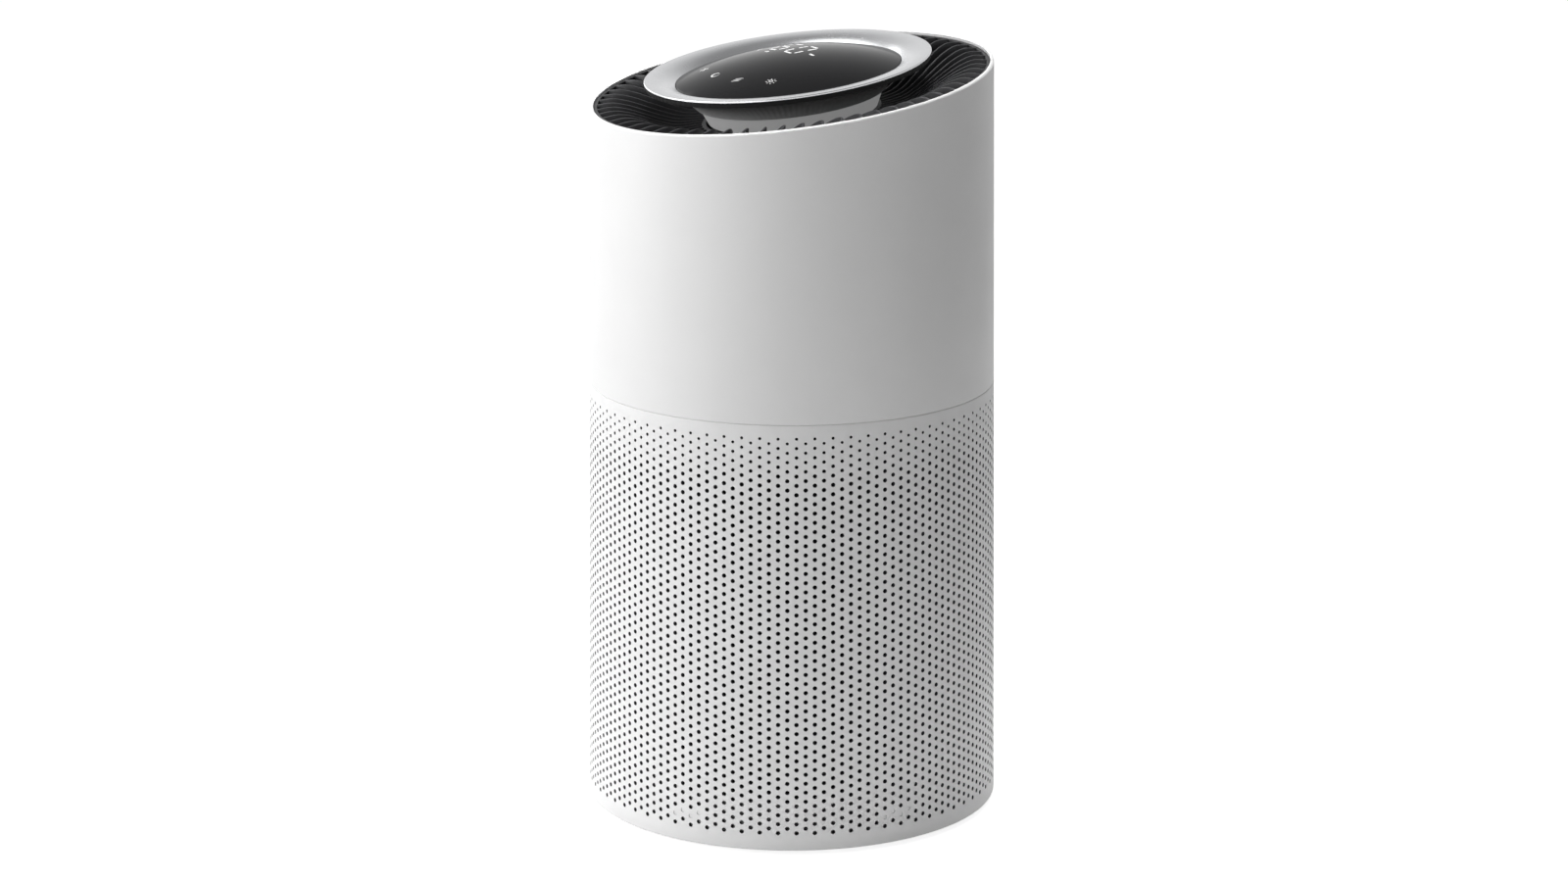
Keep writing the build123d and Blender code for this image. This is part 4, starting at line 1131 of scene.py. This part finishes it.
def placeLights():
    placed = {name: softBox(name, *place) for name, place in lights.items()}
    for name in ("backCard", "highCard"):
        placed[name].visible_diffuse = False      # a card only shows in the gloss
    placed["rimSoftBox"].data.spread = rimSpread
    placed["rimSoftBox"].visible_glossy = False


def seenByEye(tree):
    # 1 for camera, glossy and transmission rays
    path = addNode(tree, "LightPath")
    shiny = addNode(tree, "Math", {0: (path, "Is Camera Ray"), 1: (path, "Is Glossy Ray")},
                    operation="ADD")
    return addNode(tree, "Math", {0: (shiny, "Value"), 1: (path, "Is Transmission Ray")},
                   operation="ADD", use_clamp=True)


def whiteFloor():
    deselectAll()
    bpy.ops.mesh.primitive_plane_add(size=studio["floorSize"], location=(0, 0, -studio["floorDrop"]))
    floor = named("studioFloor")
    bpy.ops.object.transform_apply(location=True)
    # uncoated paper: matte, and white to the eye by a light of its own
    material, tree, shader = startMaterial(
        "paperMatteWhite", Base_Color=hexColour("#E0E0E0"), Roughness=0.9, Specular_IOR_Level=0.0,
        Emission_Color=hexColour("#FFFFFF"))
    strength = addNode(tree, "Math", {0: (seenByEye(tree), "Value"), 1: studio["floorWhite"]},
                       operation="MULTIPLY")
    feedShader(tree, shader, {"Emission Strength": (strength, "Value")})
    # seen from below it is clear, so that the tower's underside shows
    side = addNode(tree, "NewGeometry")
    clear = addNode(tree, "BsdfTransparent")
    sheet = addNode(tree, "MixShader", {"Fac": (side, "Backfacing"), 1: (shader, "BSDF"),
                                        2: (clear, "BSDF")})
    tree.links.new(sheet.outputs["Shader"], tree.nodes["Material Output"].inputs["Surface"])
    floor.data.materials.append(material)


def whiteWorld():
    # white to the eye; what lights the tower and shows in its gloss falls off with height
    world = bpy.data.worlds.new("studioWhite")
    bpy.context.scene.world = world
    world.use_nodes = True
    tree = world.node_tree
    tree.nodes.clear()
    place = addNode(tree, "TexCoord")
    axes = addNode(tree, "SeparateXYZ", {"Vector": (place, "Generated")})
    fall = addNode(tree, "ValToRGB", {"Fac": (axes, "Z")})
    fall.color_ramp.elements.new(1)              # a third stop beside the two it has
    for stop, (height, grey) in zip(fall.color_ramp.elements, studio["fall"]):
        stop.position = height
        stop.color = (grey, grey, grey, 1)
    path = addNode(tree, "LightPath")
    gloss = addNode(tree, "Math", {0: (path, "Is Glossy Ray"), 1: (path, "Is Transmission Ray")},
                    operation="ADD", use_clamp=True)
    shine = addNode(tree, "Mix", {"Factor": (gloss, "Value"), "A": studio["ambient"],
                                  "B": (fall, "Color")})
    light = addNode(tree, "Mix", {"Factor": (path, "Is Camera Ray"), "A": (shine, "Result"),
                                  "B": 1.0})
    back = addNode(tree, "Background", {"Color": (1, 1, 1, 1), "Strength": (light, "Result")})
    addNode(tree, "OutputWorld", {"Surface": (back, "Background")})


def placeCamera():
    turn, distance = studio["cameraAzimuth"], studio["cameraDistance"]
    bpy.ops.object.camera_add(location=(distance * math.sin(turn), -distance * math.cos(turn),
                                        studio["cameraHeight"]),
                              rotation=(math.radians(90) - studio["cameraPitch"], 0, turn))
    camera = bpy.context.object
    camera.data.lens = studio["lens"]
    camera.data.shift_x, camera.data.shift_y = studio["shift"]
    bpy.context.scene.camera = camera


whiteFloor()
whiteWorld()
placeCamera()
placeLights()
bpy.context.scene.view_settings.view_transform = "Standard"
print("studio set")
